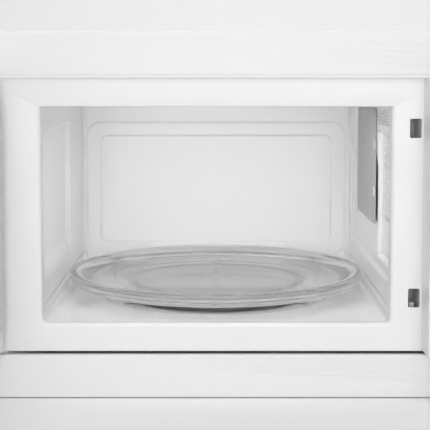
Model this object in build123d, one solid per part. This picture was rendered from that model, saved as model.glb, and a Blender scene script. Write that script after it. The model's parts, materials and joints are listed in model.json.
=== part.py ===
from build123d import *
from math import cos, radians, sin
import os

os.makedirs("parts", exist_ok=True)

# Built-in microwave with its door open. Sizes are in millimetres.
# The origin is on the shelf that carries the appliance, in the middle of its width and in the plane
# of the cabinet's front edges. x runs to the right, y into the cabinet and z up.

# Body
side_margin = 55.0
door_lap = 29.5
cavity_headroom = 27.0
rear_space = 68.0
plate_setback = 8.0
plate_sheet = 1.2
plate_rim = 7.7
case_sheet = 0.8
case_bend = 2.5
pan_sheet = 1.0
sheet_gap = 0.4

# What the body stands on
duct_width = 480.0
duct_height = 34.0
duct_depth = 380.0
duct_sheet = 1.2
foot_height = 10.0
foot_radius = 12.0
foot_inset = 40.0

# Trim frame round the body
trim_bar = 40.5
trim_depth = 12.0
trim_gap = 2.5
trim_corner = 4.0
trim_lip = 12.5
trim_recess = 2.0
bracket_sheet = 1.5
bracket_height = 30.0
bracket_leg = 45.0
bracket_flange = 22.5
niche_screw_radius = 2.25
niche_screw_inset = 9.5
niche_screw_rise = 60.0
louvre_height = 3.0
louvre_length = 102.0
louvre_inset = 17.5
louvre_pitch = 6.5
louvre_rows = 4

# Oven cavity
cavity_height = 204.0
cavity_rise = 27.0
cavity_sheet = 0.8
cavity_corner = 6.0
ceiling_corner = 1.5
mouth_roll = 4.0
collar_depth = 12.0
floor_turnup = 14.0
well_margin = 7.5
well_slope = 7.0
well_depth = 4.0
panel_depth = 5.0
panel_front = 20.0
panel_length = 184.0
panel_bottom = 64.0
panel_headroom = 30.0
panel_slope = 29.0
panel_edge = 6.0
vent_panel_length = 76.0
vent_panel_bottom = 46.0
vent_panel_depth = 6.0
vent_panel_edge = 5.0
vent_panel_lip = 1.0
shelf_bottom = 41.0
shelf_depth = 2.0
shelf_slope = 7.0
shelf_headroom = 70.0
shelf_fade = 23.0
shelf_rear_gap = 30.0
back_step = 3.0
back_side = 4.0
back_bottom = 9.3
back_headroom = 27.3
back_corner = 18.0
back_margin = 16.5
port_length = 70.0
port_height = 28.0
vent_hole = 1.5
vent_pitch = 7.5
vent_setback = 35.0
vent_length = 52.0
vent_height = 82.0
vent_top_gap = 2.0
lamp_vent_setback = 16.0
lamp_vent_length = 79.0
lamp_vent_height = 19.0
lamp_vent_drop = 5.0

# Waveguide cover
cover_sheet = 1.0
cover_length = 141.0
cover_height = 117.0
cover_setback = 98.0
cover_drop = 4.0
cover_standoff = 0.5
clip_height = 9.0
clip_width = 5.0
clip_depth = 2.5
clip_foot = 2.0

# Turntable
tray_radius = 157.5
tray_side_gap = 6.5
tray_front_gap = 4.0
tray_rear_gap = 13.0
tray_height = 14.4
tray_glass = 5.0
tray_rim = 19.5
tray_lug_reach = 17.0
tray_lug_radius = 3.5
wheel_radius = 7.5
wheel_width = 9.0
wheel_track = 105.0
ring_width = 10.0
ring_inset = 7.0
ring_height = 5.0
stub_radius = 2.0
shaft_radius = 3.5
coupler_reach = 21.0
coupler_hub = 9.0
coupler_arm = 8.0
turn_motor_radius = 25.0
turn_motor_height = 17.0
running_gap = 0.3
shaft_gap = 0.05

# Door
door_thickness = 35.0
door_seal_gap = 1.0
door_opening_angle = 100.0
door_wall = 2.5
door_corner = 4.0
door_window_side = 46.0
door_window_rise = 36.0
door_glass = 4.0
glass_lap = 6.0
screen_sheet = 1.0
screen_hole = 3.0
screen_pitch = 15.0
choke_width = 16.0
choke_cover = 2.0
pin_inset = 7.0
pin_back = 15.0
pin_radius = 3.0
pin_length = 13.4
ear_sheet = 2.0
ear_inset = 0.6
ear_width = 11.0
leg_height = 45.0
ear_gap = 1.0
bush_flange = 0.7
bush_wall = 1.5
hook_thickness = 5.0
hook_height = 6.0
hook_barb = 4.0
hook_reach = 21.0
hook_gap = 0.4
lower_hook_rise = 46.0
upper_hook_drop = 52.0

# Control panel
panel_split = 2.0
fascia_wall = 2.5
fascia_width = 96.5
window_width = 74.0
window_height = 30.0
window_drop = 20.0
window_sheet = 2.0
board_sheet = 1.6
board_depth = 22.0
dial_radius = 23.0
dial_depth = 18.0
dial_gap = 1.5
stem_radius = 3.0
timer_rise = 166.0
power_rise = 84.0
key_width = 22.0
key_height = 10.0
key_rise = 125.0
key_pitch = 28.0
key_travel = 1.2
key_gap = 0.35
button_width = 80.0
button_height = 32.0
button_rise = 8.0
stem_gap = 1.4
stem_width = 8.0
spring_radius = 5.0
spring_wire = 0.9
spring_turns = 9

# Latch behind the plate
latch_wall = 4.0
latch_depth = 44.0
slot_side = 3.0
lever_arm = 10.0
lever_drop = 18.0
lever_radius = 3.0

# Microwave source, cooling and lamp
guide_height = 40.0
guide_width = 100.0
guide_length = 80.0
magnetron_width = 80.0
magnetron_depth = 95.0
magnetron_height = 70.0
core_width = 90.0
core_depth = 66.0
core_height = 76.0
winding_lap = 12.0
capacitor_radius = 16.0
capacitor_length = 95.0
diode_radius = 2.6
fan_radius = 50.0
fan_depth = 24.0
fan_hub = 12.0
fan_blades = 7
fan_gap = 3.0
fan_shaft = 2.5
fan_height = 150.0
shroud_sheet = 2.0
lamp_radius = 11.0
gland_radius = 5.0
screw_radius = 2.0
screw_head = 4.0

# Places worked out from the sizes above
cavity_width = 2 * (tray_radius + tray_side_gap)
cavity_depth = tray_front_gap + 2 * tray_radius + tray_rear_gap
table_setback = tray_front_gap + tray_radius
tray_flat = tray_radius - tray_rim
well_radius = wheel_track + wheel_width / 2 + well_margin
ring_outer = wheel_track - ring_inset
ring_inner = ring_outer - ring_width
back_width = cavity_width - 2 * back_side
back_top = cavity_height - back_headroom
panel_top = cavity_height - panel_headroom

body_width = side_margin + cavity_width + door_lap + fascia_width
body_height = cavity_rise + cavity_height + cavity_headroom
body_depth = cavity_depth + rear_space
cavity_shift = side_margin + (cavity_width - body_width) / 2
trim_width = body_width + 2 * (trim_gap + trim_bar)
trim_height = body_height + 2 * (trim_gap + trim_bar)

left = -body_width / 2
right = body_width / 2
body_bottom = duct_height + foot_height
body_top = body_bottom + body_height
trim_bottom = body_bottom - trim_gap - trim_bar
trim_back = -trim_recess
plate_front = -plate_setback
plate_back = plate_front + plate_sheet
rim_back = plate_front + plate_rim
body_back = plate_front + body_depth
case_side = right - plate_sheet - sheet_gap
case_top = body_top - plate_sheet - sheet_gap
case_front = plate_back + 2.3

oven_left = cavity_shift - cavity_width / 2
oven_right = cavity_shift + cavity_width / 2
oven_floor = body_bottom + cavity_rise
oven_ceiling = oven_floor + cavity_height
oven_back = plate_front + cavity_depth
oven_middle = (oven_floor + oven_ceiling) / 2
collar_back = plate_front + collar_depth
well_floor = oven_floor - well_depth

door_left = left
door_right = right - fascia_width - panel_split
door_inner = plate_front - door_seal_gap
door_outer = door_inner - door_thickness
pin_x = door_left + pin_inset
pin_y = door_inner - pin_back

fascia_left = right - fascia_width
fascia_middle = fascia_left + fascia_width / 2
hook_x = door_right - door_wall - hook_thickness / 2 - hook_gap
latch_left = hook_x - hook_thickness / 2 - slot_side - latch_wall
latch_right = hook_x + hook_thickness / 2 + slot_side + latch_wall
lower_hook = body_bottom + lower_hook_rise
upper_hook = body_top - upper_hook_drop
lever_y = plate_back + lever_radius + 2.8
lever_z = lower_hook - lever_arm

table_x = cavity_shift
table_y = plate_front + table_setback
wheel_z = well_floor + running_gap + wheel_radius
tray_bottom = wheel_z + wheel_radius + running_gap
tray_top = tray_bottom + tray_height

bay_left = oven_right + cavity_sheet
bay_right = case_side - case_sheet
bay_floor = body_bottom + pan_sheet
bay_ceiling = case_top - case_sheet
magnetron_x = bay_left + guide_width - magnetron_width / 2 - 4.0
magnetron_y = plate_front + cover_setback + cover_length / 2 - 16.0
guide_top = oven_ceiling - 3.0
guide_bottom = guide_top - guide_height
fan_x = (bay_left + bay_right) / 2
fan_z = body_bottom + fan_height
shroud_y = oven_back - 16.0


def block(x0, x1, y0, y1, z0, z1):
    """A box given by the places of its six sides."""
    middle = Pos((x0 + x1) / 2, (y0 + y1) / 2, (z0 + z1) / 2)
    return middle * Box(x1 - x0, y1 - y0, z1 - z0)


def slab(width, height, corner, x, z, y0, y1):
    """A rounded rectangle seen from the front, standing between y0 and y1."""
    plane = Plane(origin=(x, y0, z), x_dir=(1, 0, 0), z_dir=(0, -1, 0))
    return extrude(plane * RectangleRounded(width, height, corner), amount=-(y1 - y0))


def rod_x(radius, y, z, x0, x1):
    """A round bar along x."""
    plane = Plane(origin=(x0, y, z), z_dir=(1, 0, 0))
    return extrude(plane * Circle(radius), amount=x1 - x0)


def rod_y(radius, x, z, y0, y1):
    """A round bar along y."""
    plane = Plane(origin=(x, y0, z), z_dir=(0, 1, 0))
    return extrude(plane * Circle(radius), amount=y1 - y0)


def rod_z(radius, x, y, z0, z1):
    """A round bar along z."""
    plane = Plane(origin=(x, y, z0), z_dir=(0, 0, 1))
    return extrude(plane * Circle(radius), amount=z1 - z0)


def pressing_x(x0, x1, mouth, base, corner):
    """A tapered pressing in a side wall. mouth and base are y and z limits at x0 and x1."""
    faces = []
    for x, (y0, y1, z0, z1) in ((x0, mouth), (x1, base)):
        plane = Plane(origin=(x, (y0 + y1) / 2, (z0 + z1) / 2), x_dir=(0, 1, 0), z_dir=(1, 0, 0))
        faces.append(plane * RectangleRounded(y1 - y0, z1 - z0, corner))
    return loft(faces, ruled=True)


def pressing_y(y0, y1, mouth, base, mouth_corner, base_corner):
    """A tapered pressing in the back wall. mouth and base are x and z limits at y0 and y1."""
    faces = []
    for y, (x0, x1, z0, z1), corner in ((y0, mouth, mouth_corner), (y1, base, base_corner)):
        plane = Plane(origin=((x0 + x1) / 2, y, (z0 + z1) / 2), x_dir=(1, 0, 0), z_dir=(0, 1, 0))
        faces.append(plane * RectangleRounded(x1 - x0, z1 - z0, corner))
    return loft(faces, ruled=True)


def grown(limits, by):
    """The limits of a pressing, widened on every side."""
    a0, a1, b0, b1 = limits
    return (a0 - by, a1 + by, b0 - by, b1 + by)


def screw(x, y, z, axis, length):
    """A pan-head screw. Its head stands on the surface at x, y, z and its shank runs along axis."""
    plane = Plane(origin=(x, y, z), z_dir=axis)
    shank = extrude(plane * Circle(screw_radius), amount=length)
    head = extrude(plane * Circle(screw_head), amount=-screw_head / 2)
    return fillet(head.faces().sort_by(Axis(plane.origin, plane.z_dir))[0].edges(), 1.2) + shank


def cavity_outline(by):
    """The cavity's rounded section, widened by a distance, in the plane of the front plate."""
    width = cavity_width + 2 * by
    height = cavity_height + 2 * by
    size = RectangleRounded(width, height, cavity_corner + by)
    size += Pos(0, height / 4) * RectangleRounded(width, height / 2, ceiling_corner + by)
    origin = (cavity_shift, plate_front, oven_middle)
    return Plane(origin=origin, x_dir=(1, 0, 0), z_dir=(0, -1, 0)) * size


def cavity_ring(inner, outer, y0, y1):
    """A ring that follows the cavity's section, between two offsets and two depths."""
    ring = cavity_outline(outer) - cavity_outline(inner)
    return Pos(0, y0 - plate_front, 0) * extrude(ring, amount=-(y1 - y0))


def hook_slots():
    """The two openings through which the door's hooks pass, through everything behind the door."""
    slots = []
    for z in (lower_hook, upper_hook):
        x0 = hook_x - hook_thickness / 2 - slot_side
        x1 = hook_x + hook_thickness / 2 + slot_side
        z1 = z + hook_height + hook_barb + 4
        slots.append(block(x0, x1, plate_front - 1, plate_front + 28, z - 4, z1))
    return slots


def panel_opening():
    """The opening in the front plate behind the control panel, above the release button."""
    z0 = body_bottom + button_rise + button_height + 8
    return block(fascia_left + 4, right - 5, plate_front - 1, plate_back + 1, z0, body_top - 6)


def stem_opening(margin):
    """The opening for the release button's stem."""
    x0 = fascia_left + 14 - margin
    z0 = lever_z - lever_drop - 4 - margin
    return block(x0, x0 + stem_width + 2 * margin, plate_front - 1, plate_back + 1, z0, z0 + 8 + 2 * margin)


def front_plate():
    sheet = slab(body_width, body_height, 3, 0, body_bottom + body_height / 2, plate_front, plate_back)
    rim = slab(body_width, body_height, 3, 0, body_bottom + body_height / 2, plate_front, rim_back)
    width = body_width - 2 * plate_sheet
    height = body_height - 2 * plate_sheet
    rim -= slab(width, height, 2, 0, body_bottom + body_height / 2, plate_front - 1, rim_back + 1)
    mouth = Pos(0, -1, 0) * extrude(cavity_outline(0), amount=-(collar_depth + 2))
    roll = cavity_ring(0, mouth_roll + plate_sheet, plate_front, plate_front + mouth_roll + 0.8)
    collar = cavity_ring(0, plate_sheet, plate_front, collar_back)
    plate = sheet - mouth + rim + roll + collar
    edges = plate.edges().filter_by_position(Axis.Y, plate_front - 0.01, plate_front + 0.01)
    inner = [e for e in edges if is_mouth_edge(e)]
    plate = fillet(inner, mouth_roll - 0.5)
    for z0, z1 in ((body_bottom - 1, body_bottom + 3), (body_top - 3, body_top + 1)):
        plate -= block(left - 1, pin_x + ear_width / 2 + 1, plate_front - 1, rim_back + 1, z0, z1)
    for slot in hook_slots():
        plate -= slot
    return plate - panel_opening() - stem_opening(2)


def is_mouth_edge(edge):
    """True for an edge of the cavity's section at its true size."""
    c = edge.center()
    inside_x = oven_left - 0.1 <= c.X <= oven_right + 0.1
    inside_z = oven_floor - 0.1 <= c.Z <= oven_ceiling + 0.1
    return inside_x and inside_z


def side_panel():
    """Depth, mouth and base limits of the pressed panel in the left wall."""
    y0 = plate_front + panel_front
    y1 = y0 + panel_length
    base = (y0, y1, oven_floor + panel_bottom, oven_floor + panel_top)
    mouth = (y0 - panel_edge, y1 + panel_edge, base[2] - panel_slope, base[3] + panel_edge)
    return panel_depth, mouth, base


def vent_panel():
    """Depth, mouth and base limits of the panel behind the air holes in the right wall."""
    y0 = plate_front + panel_front
    y1 = y0 + vent_panel_length
    base = (y0, y1, oven_floor + vent_panel_bottom, oven_floor + panel_top)
    mouth = (y0 - panel_edge, y1 + vent_panel_edge, base[2] - vent_panel_edge, base[3] + vent_panel_lip)
    return vent_panel_depth, mouth, base


def wall_shelf():
    """Depth, mouth and base limits of the shallow pressing along the foot of the right wall."""
    y0 = plate_front + panel_front
    y1 = oven_back - shelf_rear_gap
    z1 = oven_ceiling - shelf_headroom
    base = (y0, y1, oven_floor + shelf_bottom, z1)
    mouth = (y0 - panel_edge, y1 + panel_edge, base[2] - shelf_slope, z1 + shelf_fade)
    return shelf_depth, mouth, base


def pressed(wall, x, way, pressings):
    """A side wall with panels pressed outwards. way is -1 for the left wall and 1 for the right."""
    for depth, mouth, base in pressings:
        skin = way * (depth + cavity_sheet)
        wall += pressing_x(x, x + skin, grown(mouth, 1.5), grown(base, 1.5), 9)
    for depth, mouth, base in pressings:
        wall -= pressing_x(x, x + way * depth, mouth, base, 8)
    return wall


def perforation(y0, y1, z0, z1):
    """A grid of round holes through the right wall."""
    holes = []
    columns = int((y1 - y0) / vent_pitch)
    rows = int((z1 - z0) / vent_pitch)
    for i in range(columns):
        for j in range(rows):
            y = y0 + (i + 0.5) * vent_pitch
            z = z0 + (j + 0.5) * vent_pitch
            holes.append(rod_x(vent_hole, y, z, oven_right - 1, oven_right + vent_panel_depth + 2))
    return holes


def cavity_wrap():
    ring = cavity_ring(0, cavity_sheet, collar_back, oven_back)
    x0 = oven_left - 20
    x1 = oven_right + 20
    wrap = ring - block(x0, x1, collar_back - 1, oven_back + 1, oven_floor - 20, oven_floor + floor_turnup)
    wrap = pressed(wrap, oven_left, -1, [side_panel()])
    wrap = pressed(wrap, oven_right, 1, [wall_shelf(), vent_panel()])
    port_y = magnetron_y - port_length / 2
    port_top = guide_top - 6
    port_end = port_y + port_length
    wrap -= block(oven_right - 1, oven_right + 9, port_y, port_end, port_top - port_height, port_top)
    y0 = plate_front + vent_setback
    z1 = oven_floor + panel_top - vent_top_gap
    air = perforation(y0, y0 + vent_length, z1 - vent_height, z1)
    y0 = plate_front + lamp_vent_setback
    z1 = oven_ceiling - lamp_vent_drop
    lamp = perforation(y0, y0 + lamp_vent_length, z1 - lamp_vent_height, z1)
    for hole in air + lamp:
        wrap -= hole
    return wrap


def cavity_floor():
    ring = cavity_ring(0, cavity_sheet, collar_back, oven_back)
    x0 = oven_left - 20
    x1 = oven_right + 20
    floor = ring & block(x0, x1, collar_back - 1, oven_back + 1, oven_floor - 20, oven_floor + floor_turnup)
    top = Plane(origin=(table_x, table_y, oven_floor))
    low = Plane(origin=(table_x, table_y, well_floor))
    recess = loft([top * Circle(well_radius + well_slope), low * Circle(well_radius)], ruled=True)
    skirt = loft([
        top * Circle(well_radius + well_slope + 1),
        low.offset(-cavity_sheet) * Circle(well_radius + 1),
    ], ruled=True)
    floor = floor + skirt - recess
    return floor - rod_z(shaft_radius + 3, table_x, table_y, well_floor - 5, well_floor + 5)


def cavity_back():
    outline = cavity_outline(cavity_sheet)
    plate = Pos(0, oven_back - plate_front, 0) * extrude(outline, amount=-cavity_sheet)
    mouth = (cavity_shift - back_width / 2, cavity_shift + back_width / 2,
             oven_floor + back_bottom, oven_floor + back_top)
    step = grown(mouth, -2)
    y1 = oven_back + back_step
    y2 = y1 + back_step
    inner = grown(mouth, -back_margin)
    inner_base = grown(inner, -2)
    outside = pressing_y(oven_back, y1 + cavity_sheet, grown(mouth, 1), grown(step, 1),
                         back_corner, back_corner)
    outside += pressing_y(y1, y2 + cavity_sheet, grown(inner, 1), grown(inner_base, 1), 12, 11)
    inside = pressing_y(oven_back, y1, mouth, step, back_corner, back_corner - 2)
    inside += pressing_y(y1, y2, inner, inner_base, 12, 10)
    return plate + outside - inside


def cover_limits():
    """The y and z limits of the waveguide cover."""
    y0 = plate_front + cover_setback
    z1 = oven_ceiling - cover_drop
    return y0, y0 + cover_length, z1 - cover_height, z1


def clip_places():
    """Each clip's height, and how deep the wall lies behind it."""
    z0 = cover_limits()[2]
    return ((z0 + 0.27 * cover_height, shelf_depth), (z0 + 0.68 * cover_height, 0))


def clip_shank(z, x1, by):
    """The shank of a clip, from the back of its head to x1, widened by a distance."""
    x0 = oven_right - cover_standoff - cover_sheet
    end = cover_limits()[0] + clip_width
    reach = clip_height / 2 - 1 + by
    return block(x0 - by, x1 + by, end - clip_foot - by, end + by, z - reach, z + reach)


def waveguide_cover():
    y0, y1, z0, z1 = cover_limits()
    x1 = oven_right - cover_standoff
    plate = block(x1 - cover_sheet, x1, y0, y1, z0, z1)
    plate = fillet(plate.edges().filter_by(Axis.X), 6)
    for z, wall_depth in clip_places():
        plate -= clip_shank(z, x1, 0.2)
    return plate


def cover_clips():
    y0 = cover_limits()[0]
    x1 = oven_right - cover_standoff - cover_sheet
    solids = []
    for z, wall_depth in clip_places():
        low = z - clip_height / 2
        high = z + clip_height / 2
        head = block(x1 - clip_depth, x1, y0 - clip_width / 2, y0 + clip_width, low, high)
        head = fillet(head.edges().filter_by(Axis.Z), 0.8)
        solids.append(head + clip_shank(z, oven_right + wall_depth, 0))
    return solids


def outer_case():
    shell = block(-case_side, case_side, case_front, body_back - pan_sheet, body_bottom + 3, case_top)
    shell = fillet(shell.edges().filter_by(Axis.Y).group_by(Axis.Z)[-1], case_bend)
    room = block(-bay_right, bay_right, case_front - 1, body_back, body_bottom, bay_ceiling)
    shell -= fillet(room.edges().filter_by(Axis.Y).group_by(Axis.Z)[-1], case_bend - case_sheet)
    for i in range(12):
        y = body_back - 30 - i * 9
        shell -= block(case_side - 3, case_side + 1, y - 2, y + 2, body_bottom + 60, body_bottom + 110)
    for i in range(14):
        x = bay_left + 16 + i * 7
        shell -= block(x - 1.5, x + 1.5, body_back - 110, body_back - 70, bay_ceiling - 1, case_top + 1)
    return shell


def base_pan():
    side = bay_right - sheet_gap
    y0 = rim_back + sheet_gap
    y1 = body_back - pan_sheet
    pan = block(-side, side, y0, y1, body_bottom, bay_floor)
    for x0, x1 in ((-side, pan_sheet - side), (side - pan_sheet, side)):
        pan += block(x0, x1, y0 + 12, y1, body_bottom, body_bottom + 16)
    for i in range(10):
        x = bay_left + 20 + i * 9
        pan -= block(x - 2, x + 2, 40, 110, body_bottom - 1, bay_floor + 1)
    return pan


def rear_panel():
    middle = (case_top + body_bottom) / 2
    panel = slab(2 * case_side, case_top - body_bottom, 2, 0, middle, body_back - pan_sheet, body_back)
    for i in range(11):
        z = fan_z - 40 + i * 8
        panel -= block(fan_x - 42, fan_x + 42, body_back - 3, body_back + 1, z - 2, z + 2)
    for x, z in rear_screw_places():
        panel -= rod_y(screw_radius, x, z, body_back - 3, body_back + 1)
    return panel - rod_y(gland_radius, gland_x(), gland_z(), body_back - 3, body_back + 1)


def rear_screw_places():
    """The x and z of the screws in the rear panel."""
    places = []
    for x in (10 - case_side, case_side - 10):
        for z in (body_bottom + 40, body_top - 30):
            places.append((x, z))
    return places


def gland_x():
    """The cable gland's place from the middle."""
    return bay_right - 30


def gland_z():
    """The cable gland's height."""
    return body_bottom + 30


def cable_gland():
    flange = rod_y(gland_radius + 4, gland_x(), gland_z(), body_back, body_back + 4)
    barrel = rod_y(gland_radius, gland_x(), gland_z(), body_back - pan_sheet - 6, body_back)
    gland = flange + barrel
    return gland - rod_y(gland_radius - 1.8, gland_x(), gland_z(), body_back - 10, body_back + 6)


def base_duct():
    half = duct_width / 2
    duct = block(-half, half, 0, duct_depth, 0, duct_height)
    duct -= block(duct_sheet - half, half - duct_sheet, -1, duct_depth - duct_sheet,
                  duct_sheet, duct_height - duct_sheet)
    duct -= block(bay_left + 10, bay_left + 105, 34, 116, duct_height - 3, duct_height + 1)
    return duct


def appliance_feet():
    solids = []
    for x in (-duct_width / 2 + foot_inset, duct_width / 2 - foot_inset):
        for y in (foot_inset, duct_depth - foot_inset):
            foot = rod_z(foot_radius, x, y, duct_height, body_bottom)
            solids.append(chamfer(foot.edges().group_by(Axis.Z)[0], 2))
    return solids


def trim_frame():
    middle = trim_bottom + trim_height / 2
    frame = slab(trim_width, trim_height, trim_corner, 0, middle, -trim_depth, 0)
    frame = fillet(frame.faces().sort_by(Axis.Y)[0].edges(), 2)
    width = body_width + 2 * trim_gap
    height = body_height + 2 * trim_gap
    frame -= slab(width, height, 4, 0, body_bottom + body_height / 2, -trim_depth - 1, 1)
    inside = trim_width / 2 - trim_lip
    frame -= block(-inside, inside, trim_back, 1, trim_bottom - 1, trim_bottom + trim_height - trim_lip)
    length = louvre_length
    end = trim_width / 2 - louvre_inset
    for row in range(louvre_rows):
        for z in (trim_bottom + 12, body_top + trim_gap + 5):
            z0 = z + row * louvre_pitch
            frame -= block(end - length, end, -trim_depth - 1, 1, z0, z0 + louvre_height)
    for x in (-1, 1):
        for z in (-1, 1):
            hole_x = x * (trim_width / 2 - niche_screw_inset)
            hole_z = middle + z * (trim_height / 2 - niche_screw_rise)
            frame -= rod_y(niche_screw_radius, hole_x, hole_z, -trim_depth - 1, 1)
            frame -= rod_y(screw_radius, x * bracket_screw_x(), bracket_z(z), -8, 1)
    return frame


def bracket_screw_x():
    """Where the screws join the brackets to the trim, from the middle."""
    return case_side + 14


def bracket_z(side):
    """The height of the lower (-1) or upper (1) brackets."""
    return body_bottom + body_height / 2 + side * 70


def trim_brackets():
    solids = []
    for side in (-1, 1):
        for level in (-1, 1):
            z = bracket_z(level)
            z0 = z - bracket_height / 2
            z1 = z + bracket_height / 2
            x0 = right + 0.2
            x1 = x0 + bracket_sheet
            leg = block(case_side, case_side + bracket_sheet, 0, bracket_leg, z0, z1)
            step = block(case_side, x1, 0, bracket_sheet, z0, z1)
            step += block(x0, x1, trim_back, bracket_sheet, z0, z1)
            flange = block(x0, x0 + bracket_flange, trim_back, trim_back + bracket_sheet, z0, z1)
            bracket = leg + step + flange
            bracket -= rod_y(screw_radius, bracket_screw_x(), z, trim_back - 1, 3)
            for y in (15, 33):
                bracket -= rod_x(screw_radius, y, z, case_side - 1, case_side + 3)
            solids.append(bracket if side == 1 else bracket.mirror(Plane.YZ))
    return solids


def bracket_screws():
    solids = []
    for side in (-1, 1):
        for level in (-1, 1):
            z = bracket_z(level)
            x = side * bracket_screw_x()
            solids.append(screw(x, trim_back + bracket_sheet, z, (0, -1, 0), 7.5))
    return solids


def case_screws():
    solids = []
    for side in (-1, 1):
        for level in (-1, 1):
            for y in (15, 33):
                z = bracket_z(level)
                x = side * (case_side + bracket_sheet)
                solids.append(screw(x, y, z, (-side, 0, 0), bracket_sheet))
    for x, z in rear_screw_places():
        solids.append(screw(x, body_back, z, (0, -1, 0), pan_sheet))
    return solids


def hinge(low):
    """The lower or the upper hinge bracket: a leg behind the plate and an ear that carries the pin."""
    x0 = pin_x - ear_width / 2
    x1 = pin_x + ear_width / 2
    if low:
        z0 = body_bottom + ear_inset
        ear_z = (z0, z0 + ear_sheet)
        leg_z = (z0, z0 + leg_height)
    else:
        z0 = body_top - ear_inset
        ear_z = (z0 - ear_sheet, z0)
        leg_z = (z0 - leg_height, z0)
    leg = block(x0, x1, plate_back, plate_back + ear_sheet, *leg_z)
    arm = block(x0, x1, pin_y, plate_back + ear_sheet, *ear_z)
    nose = rod_z(ear_width / 2, pin_x, pin_y, *ear_z)
    return leg + arm + nose - rod_z(pin_radius, pin_x, pin_y, ear_z[0] - 1, ear_z[1] + 1)


def hinge_pins():
    low = body_bottom + ear_inset
    high = body_top - ear_inset
    return [
        rod_z(pin_radius, pin_x, pin_y, low, low + pin_length),
        rod_z(pin_radius, pin_x, pin_y, high - pin_length, high),
    ]


def opened(solid):
    """A door piece turned from its closed place to its open place."""
    pin = Axis((pin_x, pin_y, 0), (0, 0, 1))
    return solid.rotate(pin, -door_opening_angle)


def notch_low():
    """The height of the floor of the notch round the lower hinge ear."""
    return body_bottom + ear_inset + ear_sheet + ear_gap


def notch_high():
    """The height of the ceiling of the notch round the upper hinge ear."""
    return body_top - ear_inset - ear_sheet - ear_gap


def door_frame():
    width = door_right - door_left
    middle_x = (door_left + door_right) / 2
    middle_z = body_bottom + body_height / 2
    frame = slab(width, body_height, door_corner, middle_x, middle_z, door_outer, door_inner - choke_cover)
    frame = fillet(frame.faces().sort_by(Axis.Y)[0].edges(), 2.5)
    frame -= slab(width - 2 * door_wall, body_height - 2 * door_wall, 2, middle_x, middle_z,
                  door_outer + door_wall, door_inner + 1)
    frame -= slab(width - 2 * door_window_side, body_height - 2 * door_window_rise, 8, middle_x, middle_z,
                  door_outer - 1, door_outer + door_wall + 1)
    boss_back = door_inner - choke_cover
    reach = pin_length + 6
    for z0, z1 in ((notch_low(), notch_low() + reach), (notch_high() - reach, notch_high())):
        frame += block(door_left + 1, pin_x + 10, door_outer + 1, boss_back, z0, z1)
    for z0, z1 in ((body_bottom - 1, notch_low()), (notch_high(), body_top + 1)):
        frame -= block(door_left - 1, pin_x + 8, pin_y - 10, door_inner + 1, z0, z1)
    for z0, z1 in bush_spans():
        frame -= rod_z(pin_radius + bush_wall, pin_x, pin_y, z0, z1)
    low = body_bottom - 1
    high = body_top + 1
    corner = block(door_left - 1, door_left + 3.5, boss_back - 3.5, boss_back + 1, low, high)
    corner -= rod_z(3.5, door_left + 3.5, boss_back - 3.5, low - 1, high + 1)
    frame -= corner
    y0 = door_outer + door_wall
    x0 = spring_peg_x() - 5
    return frame + block(x0, x0 + 10, y0, y0 + 14, peg_height() + 40, peg_height() + 43)


def spring_peg_x():
    """The place across the door of the pegs that hold the latch spring."""
    return hook_x - hook_thickness / 2 - 7


def peg_height():
    """The height of the latch spring's lower end."""
    return lower_hook + 40


def bush_spans():
    """Heights of the two blind holes for the hinge bushes."""
    depth = pin_length - ear_sheet
    return (notch_low(), notch_low() + depth), (notch_high() - depth, notch_high())


def hinge_bushes():
    solids = []
    for (z0, z1), low in zip(bush_spans(), (True, False)):
        bush = rod_z(pin_radius + bush_wall, pin_x, pin_y, z0, z1)
        if low:
            bush += rod_z(pin_radius + bush_wall + 1.5, pin_x, pin_y, z0 - bush_flange, z0)
        else:
            bush += rod_z(pin_radius + bush_wall + 1.5, pin_x, pin_y, z1, z1 + bush_flange)
        solids.append(bush - rod_z(pin_radius + shaft_gap, pin_x, pin_y, z0 - 2, z1 + 2))
    return solids


def door_glass_pane():
    width = door_right - door_left - 2 * door_window_side + 2 * glass_lap
    height = body_height - 2 * door_window_rise + 2 * glass_lap
    y0 = door_outer + door_wall
    middle_x = (door_left + door_right) / 2
    return slab(width, height, 10, middle_x, body_bottom + body_height / 2, y0, y0 + door_glass)


def screen_limits():
    """The outer limits of the screen's choke: x0, x1, z0, z1."""
    reach = choke_width + 1
    return oven_left - reach, oven_right + reach, oven_floor - reach, oven_ceiling + reach


def door_screen():
    x0, x1, z0, z1 = screen_limits()
    y_back = door_inner - choke_cover
    y_sheet = y_back - 9
    plate = block(x0, x1, y_sheet - screen_sheet, y_sheet, z0, z1)
    wall = block(x0, x1, y_sheet, y_back, z0, z1)
    wall -= block(x0 + screen_sheet, x1 - screen_sheet, y_sheet - 1, y_back + 1,
                  z0 + screen_sheet, z1 - screen_sheet)
    inner = block(x0 + choke_width, x1 - choke_width, y_sheet, y_back, z0 + choke_width, z1 - choke_width)
    reach = choke_width + screen_sheet
    inner -= block(x0 + reach, x1 - reach, y_sheet - 1, y_back + 1, z0 + reach, z1 - reach)
    tabs = screen_tabs(y_sheet)
    screen = plate + wall + inner
    for tab in tabs:
        screen += tab
    width = x1 - x0 - 2 * choke_width - 50
    height = z1 - z0 - 2 * choke_width - 50
    columns = int(width / screen_pitch)
    rows = int(height / screen_pitch)
    for i in range(columns):
        for j in range(rows):
            x = cavity_shift + (i - (columns - 1) / 2) * screen_pitch
            z = oven_middle + (j - (rows - 1) / 2) * screen_pitch
            screen -= rod_y(screen_hole, x, z, y_sheet - 2, y_sheet + 1)
    return screen


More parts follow.
